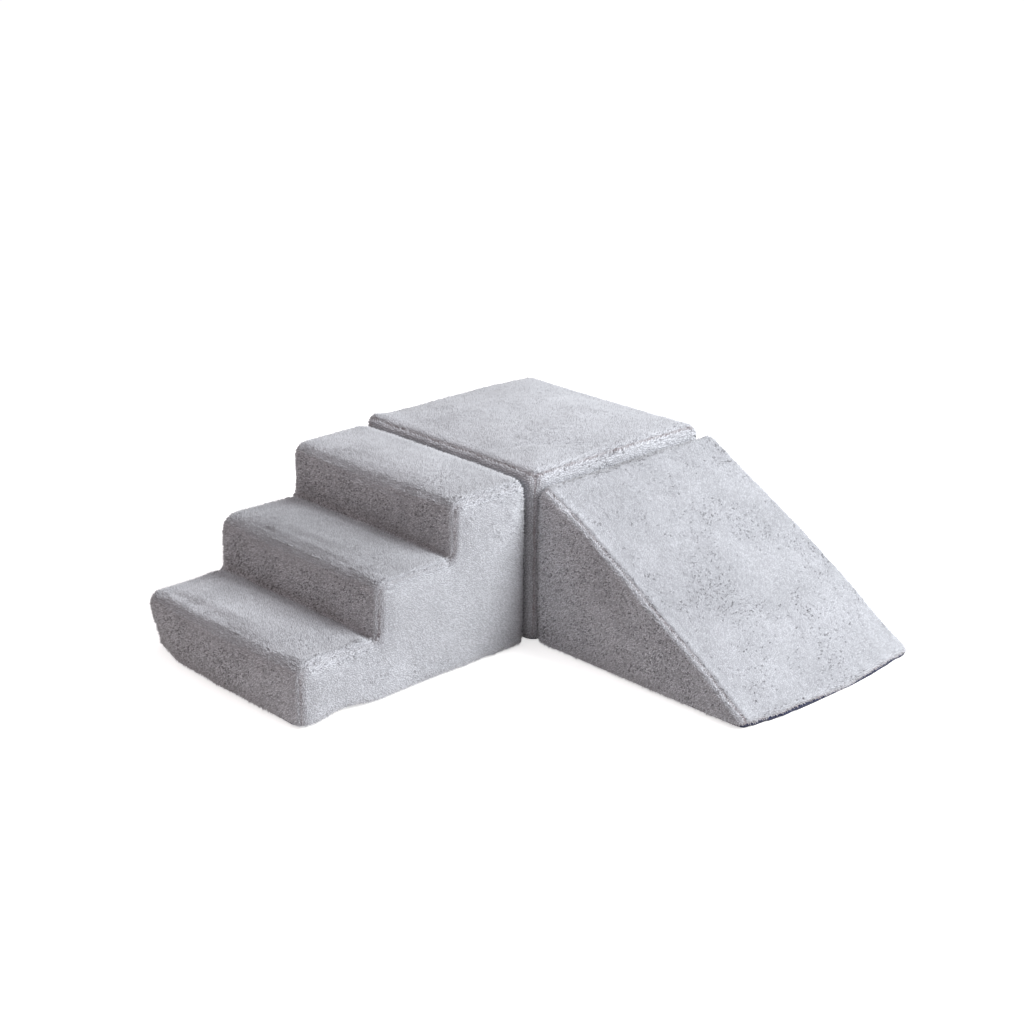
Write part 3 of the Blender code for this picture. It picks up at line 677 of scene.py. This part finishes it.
# The panel shade value darkens a whole panel's pile, or lightens it when below 0, as painted shade and light;
# the pit value sets how dark the painted shade in its pits is.
def make_plush(form, mark, number, name, flat, seed, wall=0.002, spacing=0.0018, length=0.0027,
               along=(0, 0, 0.7), painted_panel_shade=0.0, pit_shade_depth=1.2):
    """Gives a panel its knitted back and its pile, and fixes it to its block."""
    item = add_piece(name, take_panel(form, mark, number, name))
    item.data.materials.append(pile_plush)
    item.data.materials.append(knit_back)
    shell = item.modifiers.new("knitted_back", "SOLIDIFY")
    shell.thickness, shell.offset = wall, -1.0
    shell.material_offset = shell.material_offset_rim = 1
    use_group(item, pile_group, pile_inputs, {
        "Tuft Spacing": spacing, "Tuft Length": length, "Tuft Radius": spacing * 0.76,
        "Brushed Along": Vector(along), "Painted Panel Shade": painted_panel_shade, "Pit Shade Depth": pit_shade_depth, "Seed": seed,
        "Pile Material": pile_plush,
    })
    plush = add_piece(f"{name}_plush", plain_mesh(item, f"{name}_plush"))
    soften_tufts(plush.data, 0.90)
    for word in ("dense", "tall", "nap", "painted_pit_shade", "turned", "facing", "panel"):
        if word in plush.data.attributes:
            plush.data.attributes.remove(plush.data.attributes[word])
    unroll(plush.data, *flat)
    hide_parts(name)
    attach(plush, f"{name.split('_')[0]}_block")


def strip_holder(axis, face, along, heights):
    """How strongly a sewn-on strip holds the cover flat: 1 under it and 0 well beside it."""
    def hold(here):
        if abs(here[axis] - face) > near_face:
            return 0.0
        beside = max(abs(here[along]) - half_strip[0], min(abs(here.z - z) for z in heights) - half_strip[1])
        return min(max(1 - (beside - 0.001) / 0.005, 0.0), 1.0)
    return hold


def zip_quiet(axis, face, along, low, high):
    """Where the zip keeps the cover smooth and its pile short: 1 at the window and 0 well beside it."""
    def quiet(here):
        if abs(here[axis] - face) > near_face:
            return 0.0
        beside = max(low - here[along], here[along] - high, abs(here.z - zip_height) - zip_half, 0.0)
        return min(max(1.25 - beside / 0.020, 0.0), 1.0)
    return quiet


def block_skin(block):
    """The outer skin of a whole block: its cover, base, zip tapes and foam as one form."""
    kinds = ("panel", "tape", "chain", "tread_strip", "_base", "foam_core")
    own = [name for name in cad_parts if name.startswith(block) and name.endswith(kinds)]
    return even_skin(own, 0.005)


far, foot = 2.0, 0.004
zip_low, zip_high = zip_height - zip_half, zip_height + zip_half
strip_heights = (0.070, 0.190)
lying_flat = ((1, 0.25, 0.25), (0.25, 1, 0.25))
facing_x = ((0.25, 1, 0.25), (0.25, 0.25, 1))
facing_y = ((1, 0.25, 0.25), (0.25, 0.25, 1))
between_blocks = {"spacing": 0.0026, "length": 0.0030}  # coarser, where hardly any of it shows
beside_zip = {"wall": 0.0008}

# Corner block: a square block under a plush cover of one top panel and four side panels, sewn up each
# corner and round the top. Its zip is low on the side that faces away from the stairs.

form = block_skin("corner")
left, side, front, rear, lid = -0.2078, 0.2078, -0.1978, 0.1978, 0.2945
zip_start, zip_end = -0.1565, 0.1565
panels = [
    ((-far, -far, -far), (far, far, foot)),
    ((zip_start, rear, zip_low), (zip_end, far, zip_high)),
    ((-far, -far, lid), (far, far, far)),
    ((side, -far, foot), (far, far, lid)),
    ((-far, -far, foot), (left, far, lid)),
    ((left, -far, foot), (side, front, lid)),
    ((left, rear, foot), (side, far, lid)),
]
seam_planes = [(0, left), (0, side), (1, front), (1, rear), (2, lid)]
planes = [*seam_planes, (2, foot), (2, zip_low), (2, zip_high), (0, zip_start), (0, zip_end)]
mark = cut_into_panels(form, panels, planes, seam_planes)
press_out(form, mark, lambda here: here.x > 0.195 or here.y < -0.185 or (here.y > 0.19 and here.z < 0.08))
shape_skin(
    form, mark,
    held=[strip_holder(1, -0.205, 0, strip_heights), strip_holder(0, 0.215, 1, strip_heights)],
    calm=[zip_quiet(1, 0.205, 0, zip_start, zip_end)],
    pulls=[
        ((-0.212, -0.202, 0.296), (0.024, 0.024, 0.020), (-0.007, -0.004, 0.009)),
        ((0.212, -0.202, 0.296), (0.018, 0.018, 0.016), (0.002, -0.001, 0.003)),
        ((0.212, 0.202, 0.296), (0.020, 0.020, 0.020), (0.004, 0.003, 0.004)),
        ((-0.05, 0.215, 0.300), (0.35, 0.09, 0.08), (0, 0, -0.004)),
    ],
    creases=[
        ((0.09, -0.150, 0.303), (0.17, -0.03, 0.303), 0.0012, 0.5),
        ((0.05, -0.110, 0.304), (0.12, 0.02, 0.304), 0.0008, 0.5),
    ],
)
make_plush(form, mark, 2, "corner_top_panel", lying_flat, 11, along=(0.85, 0.35, 0), pit_shade_depth=1.4)
make_plush(form, mark, 3, "corner_slide_side_panel", facing_x, 12, **between_blocks)
make_plush(form, mark, 4, "corner_outer_side_panel", facing_x, 13)
make_plush(form, mark, 5, "corner_stairs_side_panel", facing_y, 14, **between_blocks)
make_plush(form, mark, 6, "corner_zip_side_panel", facing_y, 15, **beside_zip)
corner_form, corner_mark = form, mark

# Stairs: one strip of plush runs up over the treads and risers, between a stepped panel on each side.
# The strip is tucked in where a tread meets a riser and creased behind the nosings.

form = block_skin("stairs")
left, side, rear = -0.2013, 0.2013, -0.2161
zip_start, zip_end = -0.5504, -0.2374
panels = [
    ((-far, -far, -far), (far, far, foot)),
    ((-far, zip_start, zip_low), (left, zip_end, zip_high)),
    ((left, -far, foot), (side, rear, far)),
    ((left, rear, foot), (side, far, far)),
    ((side, -far, foot), (far, far, far)),
    ((-far, -far, foot), (left, far, far)),
]
seam_planes = [(0, left), (0, side), (1, rear)]
tucks = [(1, -0.5369), (1, -0.3809), (2, 0.107), (2, 0.199)]
planes = [*seam_planes, *tucks, (2, foot), (2, zip_low), (2, zip_high), (1, zip_start), (1, zip_end)]
mark = cut_into_panels(form, panels, planes, [*seam_planes, *tucks])
press_out(form, mark, lambda here: (
    here.y > -0.230 or (here.x < -0.19 and here.z < 0.08)
    or min(math.hypot(here.y - start[1], here.z - start[2]) for start, _, _, _ in inner_corners) < 0.02
))
shape_skin(
    form, mark,
    held=[strip_holder(1, -0.2089, 0, strip_heights)],
    calm=[zip_quiet(0, -0.2085, 1, zip_start, zip_end)],
    pulls=[
        ((-0.2085, -0.62, 0.107), (0.06, 0.08, 0.03), (0, 0, -0.002)),
        ((-0.2085, -0.541, 0.196), (0.10, 0.035, 0.030), (0, 0.002, -0.001)),
        ((-0.2085, -0.480, 0.205), (0.10, 0.060, 0.030), (0, 0, 0.003)),
        ((-0.2085, -0.385, 0.288), (0.10, 0.035, 0.030), (0, 0.001, 0.0005)),
        ((0.2085, -0.600, 0.0), (0.040, 0.040, 0.030), (-0.002, 0, 0.0055)),
        ((0.2085, -0.676, 0.0), (0.030, 0.030, 0.030), (0.003, -0.003, 0)),
        ((0.2085, -0.52, 0.02), (0.03, 0.06, 0.05), (0.002, 0, 0)),
        ((-0.2085, -0.689, 0.01), (0.045, 0.045, 0.04), (0.003, 0.002, 0.001)),
        ((0.03, -0.676, 0.0), (0.140, 0.030, 0.030), (0, 0.003, 0.001)),
    ],
    creases=[
        ((-0.175, -0.658, 0.107), (0.02, -0.660, 0.107), 0.0022, 0.5),
        ((-0.06, -0.497, 0.199), (0.06, -0.492, 0.199), 0.0020, 0.5),
        ((-0.10, -0.345, 0.292), (0.00, -0.340, 0.292), 0.0008, 0.5),
        *inner_corners,
    ],
    # Patches painted darker, or lighter where the value is below 0: painted shade and light.
    turned=[
        ((0.0, -0.47, 0.199), (0.26, 0.07, 0.03), 1.4),
        ((-0.12, -0.64, 0.107), (0.14, 0.06, 0.03), -0.4),
        ((0.19, -0.70, 0.05), (0.08, 0.05, 0.06), -0.7),
        ((0.0, -0.385, 0.25), (0.20, 0.04, 0.03), -0.3),
        ((0.21, -0.56, 0.03), (0.04, 0.16, 0.05), -0.6),
    ],
    folds=inner_corners,
)
up_the_steps = ((1, 0.1, 0.1), (0.1, 1, 1))
make_plush(form, mark, 2, "stairs_tread_strip", up_the_steps, 21,
           along=(0.5, 0, 0), painted_panel_shade=0.15, pit_shade_depth=3.6)
make_plush(form, mark, 3, "stairs_back_panel", facing_y, 22, **between_blocks)
make_plush(form, mark, 4, "stairs_near_side_panel", facing_x, 23, painted_panel_shade=0.05, pit_shade_depth=0.9)
make_plush(form, mark, 5, "stairs_zip_side_panel", facing_x, 24, **beside_zip)
stairs_form, stairs_mark = form, mark

# Slide: a wedge whose one slope panel rolls over the toe, between a three-cornered panel on each side.
# The near seam wanders a little, as the foam's edge is cut by hand. At the toe the base cloth is turned up.

form = block_skin("slide")
behind, front, rear = 0.2261, -0.1912, 0.2128
zip_start, zip_end = 0.2474, 0.5604
panels = [
    ((-far, -far, -far), (far, far, foot)),
    ((zip_start, rear, zip_low), (zip_end, far, zip_high)),
    ((behind, front, foot), (far, rear, far)),
    ((-far, front, foot), (behind, rear, far)),
    ((-far, -far, foot), (far, front, far)),
    ((-far, rear, foot), (far, far, far)),
]
seam_planes = [(0, behind), (1, front), (1, rear)]
turned_up = 0.0105
planes = [*seam_planes, (2, foot), (2, turned_up), (2, zip_low), (2, zip_high), (0, zip_start), (0, zip_end)]
mark = cut_into_panels(form, panels, planes, seam_planes)
for face in form.faces:
    middle = face.calc_center_median()
    if middle.x > 0.60 and middle.z < turned_up and abs(face.normal.y) < 0.7:
        face[mark] = 0
press_out(form, mark, lambda here: here.x < 0.240 or here.x > 0.62 or (here.y > 0.20 and here.z < 0.08))
shape_skin(
    form, mark,
    held=[strip_holder(0, 0.2189, 1, strip_heights)],
    calm=[zip_quiet(1, 0.220, 0, zip_start, zip_end)],
    pulls=[
        ((0.2265, -0.200, 0.140), (0.012, 0.012, 0.20), (-0.0045, -0.0035, 0)),
        ((0.2275, 0.009, 0.281), (0.012, 0.40, 0.012), (-0.003, 0, 0.003)),
        ((0.50, 0.212, 0.125), (0.16, 0.05, 0.14), (0.001, 0.001, 0.002)),
        ((0.672, 0.05, 0.0), (0.04, 0.26, 0.04), (0.0045, 0, 0)),
        ((0.675, 0.03, 0.010), (0.03, 0.07, 0.007), (0, 0, -0.0045)),
        ((0.660, 0.210, 0.010), (0.050, 0.040, 0.035), (0.003, 0.0035, -0.003)),
        ((0.32, -0.200, 0.225), (0.05, 0.02, 0.05), (0, 0.003, 0.001)),
        ((0.45, -0.200, 0.150), (0.05, 0.02, 0.05), (0, -0.002, 0.001)),
        ((0.57, -0.200, 0.070), (0.05, 0.02, 0.04), (0, 0.002, 0)),
    ],
    creases=[
        ((0.28, -0.12, 0.258), (0.31, 0.10, 0.240), 0.0006, 0.5),
        ((0.40, -0.14, 0.186), (0.42, 0.02, 0.175), 0.0006, 0.5),
    ],
    # Patches painted darker, or lighter where the value is below 0: painted shade and light.
    turned=[
        ((0.45, 0.0, 0.15), (0.10, 0.20, 0.09), 0.15),
        ((0.25, -0.20, 0.20), (0.07, 0.04, 0.10), -1.0),
    ],
    toe=0.60,
)
down_the_slope = ((0.1, 1, 0.1), (1, 0.1, -1))
make_plush(form, mark, 2, "slide_slope_panel", down_the_slope, 31,
           along=(0.83, 0, -0.56), painted_panel_shade=0.80, pit_shade_depth=3.2)
make_plush(form, mark, 3, "slide_back_panel", facing_x, 32, **between_blocks)
make_plush(form, mark, 4, "slide_near_side_panel", facing_y, 33,
           along=(0, 0, 0), painted_panel_shade=-0.35, pit_shade_depth=4.8)
make_plush(form, mark, 5, "slide_zip_side_panel", facing_y, 34, **beside_zip)
slide_form, slide_mark = form, mark

# Base cloths: a navy plain-woven polyester cloth sewn in under each cover, with rubber dots printed on it
# so that the block doesn't slip. Its turned-up edge shows as a thin dark line under the slide's toe.

navy_cloth, tree, where = new_material("navy_woven_polyester")
# Real threads lie 0.4 mm apart, too fine to show: they are drawn 1.5 mm apart.
warp, weft = [add_node(tree, "ShaderNodeTexWave", {"Vector": where, "Scale": 209.0}, bands_direction=way)
              for way in ("X", "Y")]
threads = add_node(tree, "ShaderNodeMath", {
    0: warp.outputs["Fac"], 1: weft.outputs["Fac"],
}, operation="MULTIPLY")
fade = add_node(tree, "ShaderNodeTexNoise", {"Vector": where, "Scale": 40.0, "Detail": 3.0})
mixed = add_node(tree, "ShaderNodeMath", {0: threads, 1: fade}, operation="MULTIPLY")
finish_material(tree, mixed, "#171B35", "#343C63", {
    "Roughness": 0.8, "Specular IOR Level": 0.25, "Sheen Weight": 0.1,
}, relief=(threads, 0.4, 0.0004))

rubber, tree, where = new_material("printed_black_rubber")
scuffs = add_node(tree, "ShaderNodeTexNoise", {"Vector": where, "Scale": 260.0, "Detail": 3.0})
finish_material(tree, scuffs, "#131316", "#3A3A40", {}, gloss=(0.45, 0.7))

dot_group, dot_inputs, given = new_group("rubber_dots", (
    ("Cloth", "Geometry", None), ("Middle", "Vector", (0, 0, 0)), ("Length", "Float", 0.4),
    ("Width", "Float", 0.4), ("Columns", "Int", 40), ("Rows", "Int", 40), ("Edge Margin", "Float", 0.016),
    ("Dot Radius", "Float", 0.0016), ("Dot Height", "Float", 0.0007), ("Rubber", "Material", None),
), "Dots")
tree = dot_group
rows = add_node(tree, "GeometryNodeMeshGrid", {
    "Size X": given["Length"], "Size Y": given["Width"],
    "Vertices X": given["Columns"], "Vertices Y": given["Rows"],
})
number = add_node(tree, "GeometryNodeInputIndex")
odd = add_node(tree, "ShaderNodeMath", {0: number, 1: 2.0}, operation="MODULO")
dot = add_node(tree, "GeometryNodeMeshCone", {
    "Vertices": 9, "Radius Top": 0.0009, "Radius Bottom": given["Dot Radius"], "Depth": given["Dot Height"],
})
every_other = add_node(tree, "FunctionNodeCompare", {0: odd, 1: 0.5}, operation="LESS_THAN")
laid = add_node(tree, "GeometryNodeTransform", {"Geometry": rows, "Translation": given["Middle"]})
sides = add_node(tree, "GeometryNodeInputMeshEdgeNeighbors")
single = add_node(tree, "FunctionNodeCompare", {2: sides, 3: 1}, data_type="INT", operation="EQUAL")
hem = add_node(tree, "GeometryNodeSeparateGeometry", {0: given["Cloth"], 1: single}, domain="EDGE")
to_hem = add_node(tree, "GeometryNodeProximity", {"Geometry": hem}, target_element="EDGES")
clear = add_node(tree, "FunctionNodeCompare", {0: to_hem.outputs["Distance"], 1: given["Edge Margin"]})
spot = add_node(tree, "GeometryNodeInputPosition")
below = add_node(tree, "ShaderNodeVectorMath", {0: spot, 1: (0, 0, -0.01)})
over = add_node(tree, "GeometryNodeRaycast", {
    "Target Geometry": given["Cloth"], "Source Position": below, "Ray Direction": (0, 0, 1), "Ray Length": 0.05,
})
on_cloth = add_node(tree, "FunctionNodeBooleanMath", {0: over.outputs["Is Hit"], 1: clear})
chosen = add_node(tree, "FunctionNodeBooleanMath", {0: on_cloth, 1: every_other})
printed = add_node(tree, "GeometryNodeInstanceOnPoints", {
    "Points": laid, "Selection": chosen, "Instance": dot, "Rotation": (math.pi, 0, 0),
})
real = add_node(tree, "GeometryNodeRealizeInstances", {0: printed})
inked = add_node(tree, "GeometryNodeSetMaterial", {"Geometry": real, "Material": given["Rubber"]})
add_node(tree, "NodeGroupOutput", {0: inked})

dot_step, cloth_height = 0.008, 0.0007
for block, form, mark, middle, size, cut in (
    ("corner", corner_form, corner_mark, (0.0, 0.0), (0.432, 0.416), (0.436, 0.416)),
    ("stairs", stairs_form, stairs_mark, (0.0, -0.449), (0.416, 0.480), (0.420, 0.490)),
    ("slide", slide_form, slide_mark, (0.445, 0.009), (0.464, 0.416), (0.462, 0.426)),
):
    item = add_piece("cut_cloth", take_panel(form, mark, 0, "cut_cloth"))
    for spot in item.data.vertices:
        spot.co.z = max(spot.co.z, cloth_height)
    unprinted = item.data.copy()
    wall = item.modifiers.new("cloth_thickness", "SOLIDIFY")
    wall.thickness, wall.offset = 0.0008, -1.0
    cloth = add_piece(f"{block}_base_cloth", plain_mesh(item, f"{block}_base_cloth"))
    cloth.data.materials.append(navy_cloth)
    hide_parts(f"{block}_base")
    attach(cloth, f"{block}_block")

    item = add_piece("printing", unprinted)
    columns, lines = [round(side / dot_step) | 1 for side in size]
    use_group(item, dot_group, dot_inputs, {
        "Middle": (*middle, 0.0009), "Length": size[0], "Width": size[1], "Columns": columns, "Rows": lines,
        "Rubber": rubber,
    })
    dots = add_piece(f"{block}_rubber_dots", plain_mesh(item, f"{block}_rubber_dots"))
    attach(dots, f"{block}_block")

# Zips: each cover opens low on its far side. Woven polyester tapes are sewn in behind the plush, moulded
# nylon teeth run along them, and a nickel-plated slider closes them. The tape shows a fine herringbone.

zip_weave, tree, where = new_material("woven_polyester_zip_tape")
apart = add_node(tree, "ShaderNodeSeparateXYZ", {0: where})
lengthways = add_node(tree, "ShaderNodeMath", {0: apart.outputs["X"], 1: apart.outputs["Y"]})
zigzag = add_node(tree, "ShaderNodeMath", {0: apart.outputs["Z"], 1: 0.0022}, operation="PINGPONG")
slanted = add_node(tree, "ShaderNodeMath", {0: lengthways, 1: zigzag})
# Real yarns lie 0.35 mm apart, too fine to show: they are drawn 1 mm apart.
turns = add_node(tree, "ShaderNodeMath", {0: slanted, 1: 6283.0}, operation="MULTIPLY")
yarn = add_node(tree, "ShaderNodeMath", {0: turns}, operation="SINE")
level_yarn = add_node(tree, "ShaderNodeMapRange", {"Value": yarn, "From Min": -1.0})
finish_material(tree, level_yarn, "#A9ABB2", "#C3C5CC", {"Roughness": 0.7, "Specular IOR Level": 0.3},
                relief=(level_yarn, 0.35, 0.0003))

nylon, tree, where = new_material("moulded_nylon_teeth")
clouds = add_node(tree, "ShaderNodeTexNoise", {"Vector": where, "Scale": 300.0})
finish_material(tree, clouds, "#A6A8AE", "#C9CBD1", {"IOR": 1.53}, gloss=(0.30, 0.42))

nickel, tree, where = new_material("nickel_plated_zinc")
rubbed = add_node(tree, "ShaderNodeTexNoise", {
    "Vector": where, "Scale": 420.0, "Detail": 4.0, "Distortion": 0.6,
})
finish_material(tree, rubbed, "#A9A49C", "#DCD8D0", {"Metallic": 1.0}, gloss=(0.18, 0.36),
                relief=(rubbed, 0.12, 0.0002))

tape_steps, tape_parts = 163, 6
for block in ("corner", "stairs", "slide"):
    for half in ("upper", "lower"):
        node = f"{block}_zip_{half}_tape"
        low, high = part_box(node)
        along = 0 if high[0] - low[0] > 0.1 else 1
        out = 1 - along
        form = bmesh.new()
        rows = []
        for step in range(tape_steps + 1):
            share = step / tape_steps
            row = []
            for part in range(tape_parts + 1):
                spot = [0.0, 0.0, low[2] + (high[2] - low[2]) * part / tape_parts]
                spot[along] = low[along] + (high[along] - low[along]) * share
                middle = (low[out] + high[out]) / 2
                spot[out] = middle + 0.00008 * math.sin(step * 0.9) * (1 if 0 < part < tape_parts else -1)
                row.append(form.verts.new(spot))
            rows.append(row)
        for row, after in zip(rows, rows[1:]):
            for part in range(tape_parts):
                form.faces.new((row[part], row[part + 1], after[part + 1], after[part])).smooth = True
        ribbon = add_piece("ribbon", mesh_of(form, "ribbon"))
        wall = ribbon.modifiers.new("tape_thickness", "SOLIDIFY")
        wall.thickness, wall.offset, wall.use_even_offset = 0.0006, 0.0, True
        tape = add_piece(f"{block}_{half}_zip_tape", plain_mesh(ribbon, f"{block}_{half}_zip_tape"))
        tape.data.materials.append(zip_weave)
        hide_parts(node)
        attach(tape, f"{block}_block")
        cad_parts[f"{block}_zip_{half}_chain"].material_slots[0].material = nylon
    for metal in ("slider", "pull"):
        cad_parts[f"{block}_zip_{metal}"].material_slots[0].material = nickel

# Hook-and-loop strips: two pairs hold each outer block to the corner block. The corner block has the soft
# loop side, the stairs and the slide have the hooks. Both are nylon on a woven tape, sewn to the plush.

hook_tape, tree, where = new_material("woven_nylon_tape")
bands = add_node(tree, "ShaderNodeTexWave", {"Vector": where, "Scale": 157.0}, bands_direction="Z")
ribs = bands.outputs["Fac"]
finish_material(tree, ribs, "#9A9CA3", "#B4B6BD", {"Roughness": 0.65}, relief=(ribs, 0.3, 0.0003))

monofil, tree, where = new_material("nylon_hooks_and_loops")
streaks = add_node(tree, "ShaderNodeTexNoise", {"Vector": where, "Scale": 180.0})
finish_material(tree, streaks, "#9DA0A7", "#C6C8CE", {"Roughness": 0.4, "IOR": 1.53})

# The hooks and loops: one bent thread on each point of a grid. Real ones stand 1.2 mm apart and these 3 mm.

thread_group, thread_inputs, given = new_group("hook_or_loop_threads", (
    ("Length", "Float", 0.292), ("Width", "Float", 0.024), ("Columns", "Int", 98), ("Rows", "Int", 9),
    ("Start", "Vector", (-0.0004, 0, 0)), ("Bend", "Vector", (0, 0, 0.0016)), ("End", "Vector", (0.0004, 0, 0)),
    ("Turn", "Float", 0.0), ("Thread Radius", "Float", 0.00016), ("Seed", "Int", 3),
    ("Nylon", "Material", None),
), "Threads")
tree = thread_group
rows = add_node(tree, "GeometryNodeMeshGrid", {
    "Size X": given["Length"], "Size Y": given["Width"],
    "Vertices X": given["Columns"], "Vertices Y": given["Rows"],
})
bent = add_node(tree, "GeometryNodeCurveQuadraticBezier", {
    "Resolution": 4, "Start": given["Start"], "Middle": given["Bend"], "End": given["End"],
})
round_section = add_node(tree, "GeometryNodeCurvePrimitiveCircle", {
    "Resolution": 3, "Radius": given["Thread Radius"],
})
tube = add_node(tree, "GeometryNodeCurveToMesh", {
    "Curve": bent, "Profile Curve": round_section, "Fill Caps": True,
})
wide = add_node(tree, "ShaderNodeMath", {0: given["Turn"], 1: -1.0}, operation="MULTIPLY")
swing = add_node(tree, "FunctionNodeRandomValue", {2: wide, 3: given["Turn"], "Seed": given["Seed"]})
about = add_node(tree, "FunctionNodeAxisAngleToRotation", {"Angle": swing.outputs[1]})
knitted = add_node(tree, "GeometryNodeInstanceOnPoints", {
    "Points": rows, "Instance": tube, "Rotation": about,
})
real = add_node(tree, "GeometryNodeRealizeInstances", {0: knitted})
soft = add_node(tree, "GeometryNodeSetShadeSmooth", {0: real})
drawn = add_node(tree, "GeometryNodeSetMaterial", {"Geometry": soft, "Material": given["Nylon"]})
add_node(tree, "NodeGroupOutput", {0: drawn})

loop_bend = ((-0.0005, 0, 0), (0.0, 0.0002, 0.0016), (0.0005, 0, 0), 1.4)
hook_bend = ((0, 0, 0), (-0.0002, 0, 0.0016), (0.0007, 0, 0.0003), 0.15)
strip_length, strip_width = 0.2994, 0.0294
strips = [(f"corner_{level}_loop_strip_{side}", "corner_block", facing, loop_bend)
          for level in ("lower", "upper") for side, facing in (("stairs", (0, -1, 0)), ("slide", (1, 0, 0)))]
strips += [(f"{block}_{level}_hook_strip", f"{block}_block", facing, hook_bend)
           for level in ("lower", "upper") for block, facing in (("stairs", (0, 1, 0)), ("slide", (-1, 0, 0)))]
for seed, (node, body, facing, (start, bend, end, turn)) in enumerate(strips):
    low, high = [Vector(corner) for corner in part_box(node)]
    facing = Vector(facing)
    middle = (low + high) / 2
    back_face = middle - facing * (high - low).dot(Vector(map(abs, facing))) / 2
    stand = Matrix.Translation(back_face) @ facing.to_track_quat("Z", "Y").to_matrix().to_4x4()
    across = stand.inverted().to_3x3() @ (high - low)
    length_first = abs(across.x) > abs(across.y)
    if not length_first:
        stand = stand @ Matrix.Rotation(math.pi / 2, 4, "Z")
    form = bmesh.new()
    bmesh.ops.create_grid(form, x_segments=60, y_segments=8, size=0.5)
    for spot in form.verts:
        edge = 0.0001 * (1 if abs(spot.co.y) > 0.45 else 0)
        rib = 0.00004 * math.sin(spot.co.x * 900)
        spot.co = Vector((spot.co.x * strip_length, spot.co.y * strip_width, 0.0006 - edge + rib))
    for face in form.faces:
        face.smooth = True
    ground = add_piece("ground", mesh_of(form, "ground"))
    wall = ground.modifiers.new("tape_thickness", "SOLIDIFY")
    wall.thickness, wall.offset = 0.0005, -1.0
    tape = add_piece(f"{node}_tape", plain_mesh(ground, f"{node}_tape"))
    tape.data.transform(stand)
    tape.data.materials.append(hook_tape)
    item = add_piece("threads", bpy.data.meshes.new("threads"))
    use_group(item, thread_group, thread_inputs, {
        "Start": start, "Bend": bend, "End": end, "Turn": turn, "Seed": seed, "Nylon": monofil,
    })
    threads = add_piece(f"{node}_threads", plain_mesh(item, f"{node}_threads"))
    threads.data.transform(stand @ Matrix.Translation((0, 0, 0.0005)))
    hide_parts(node)
    for piece in (tape, threads):
        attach(piece, body)
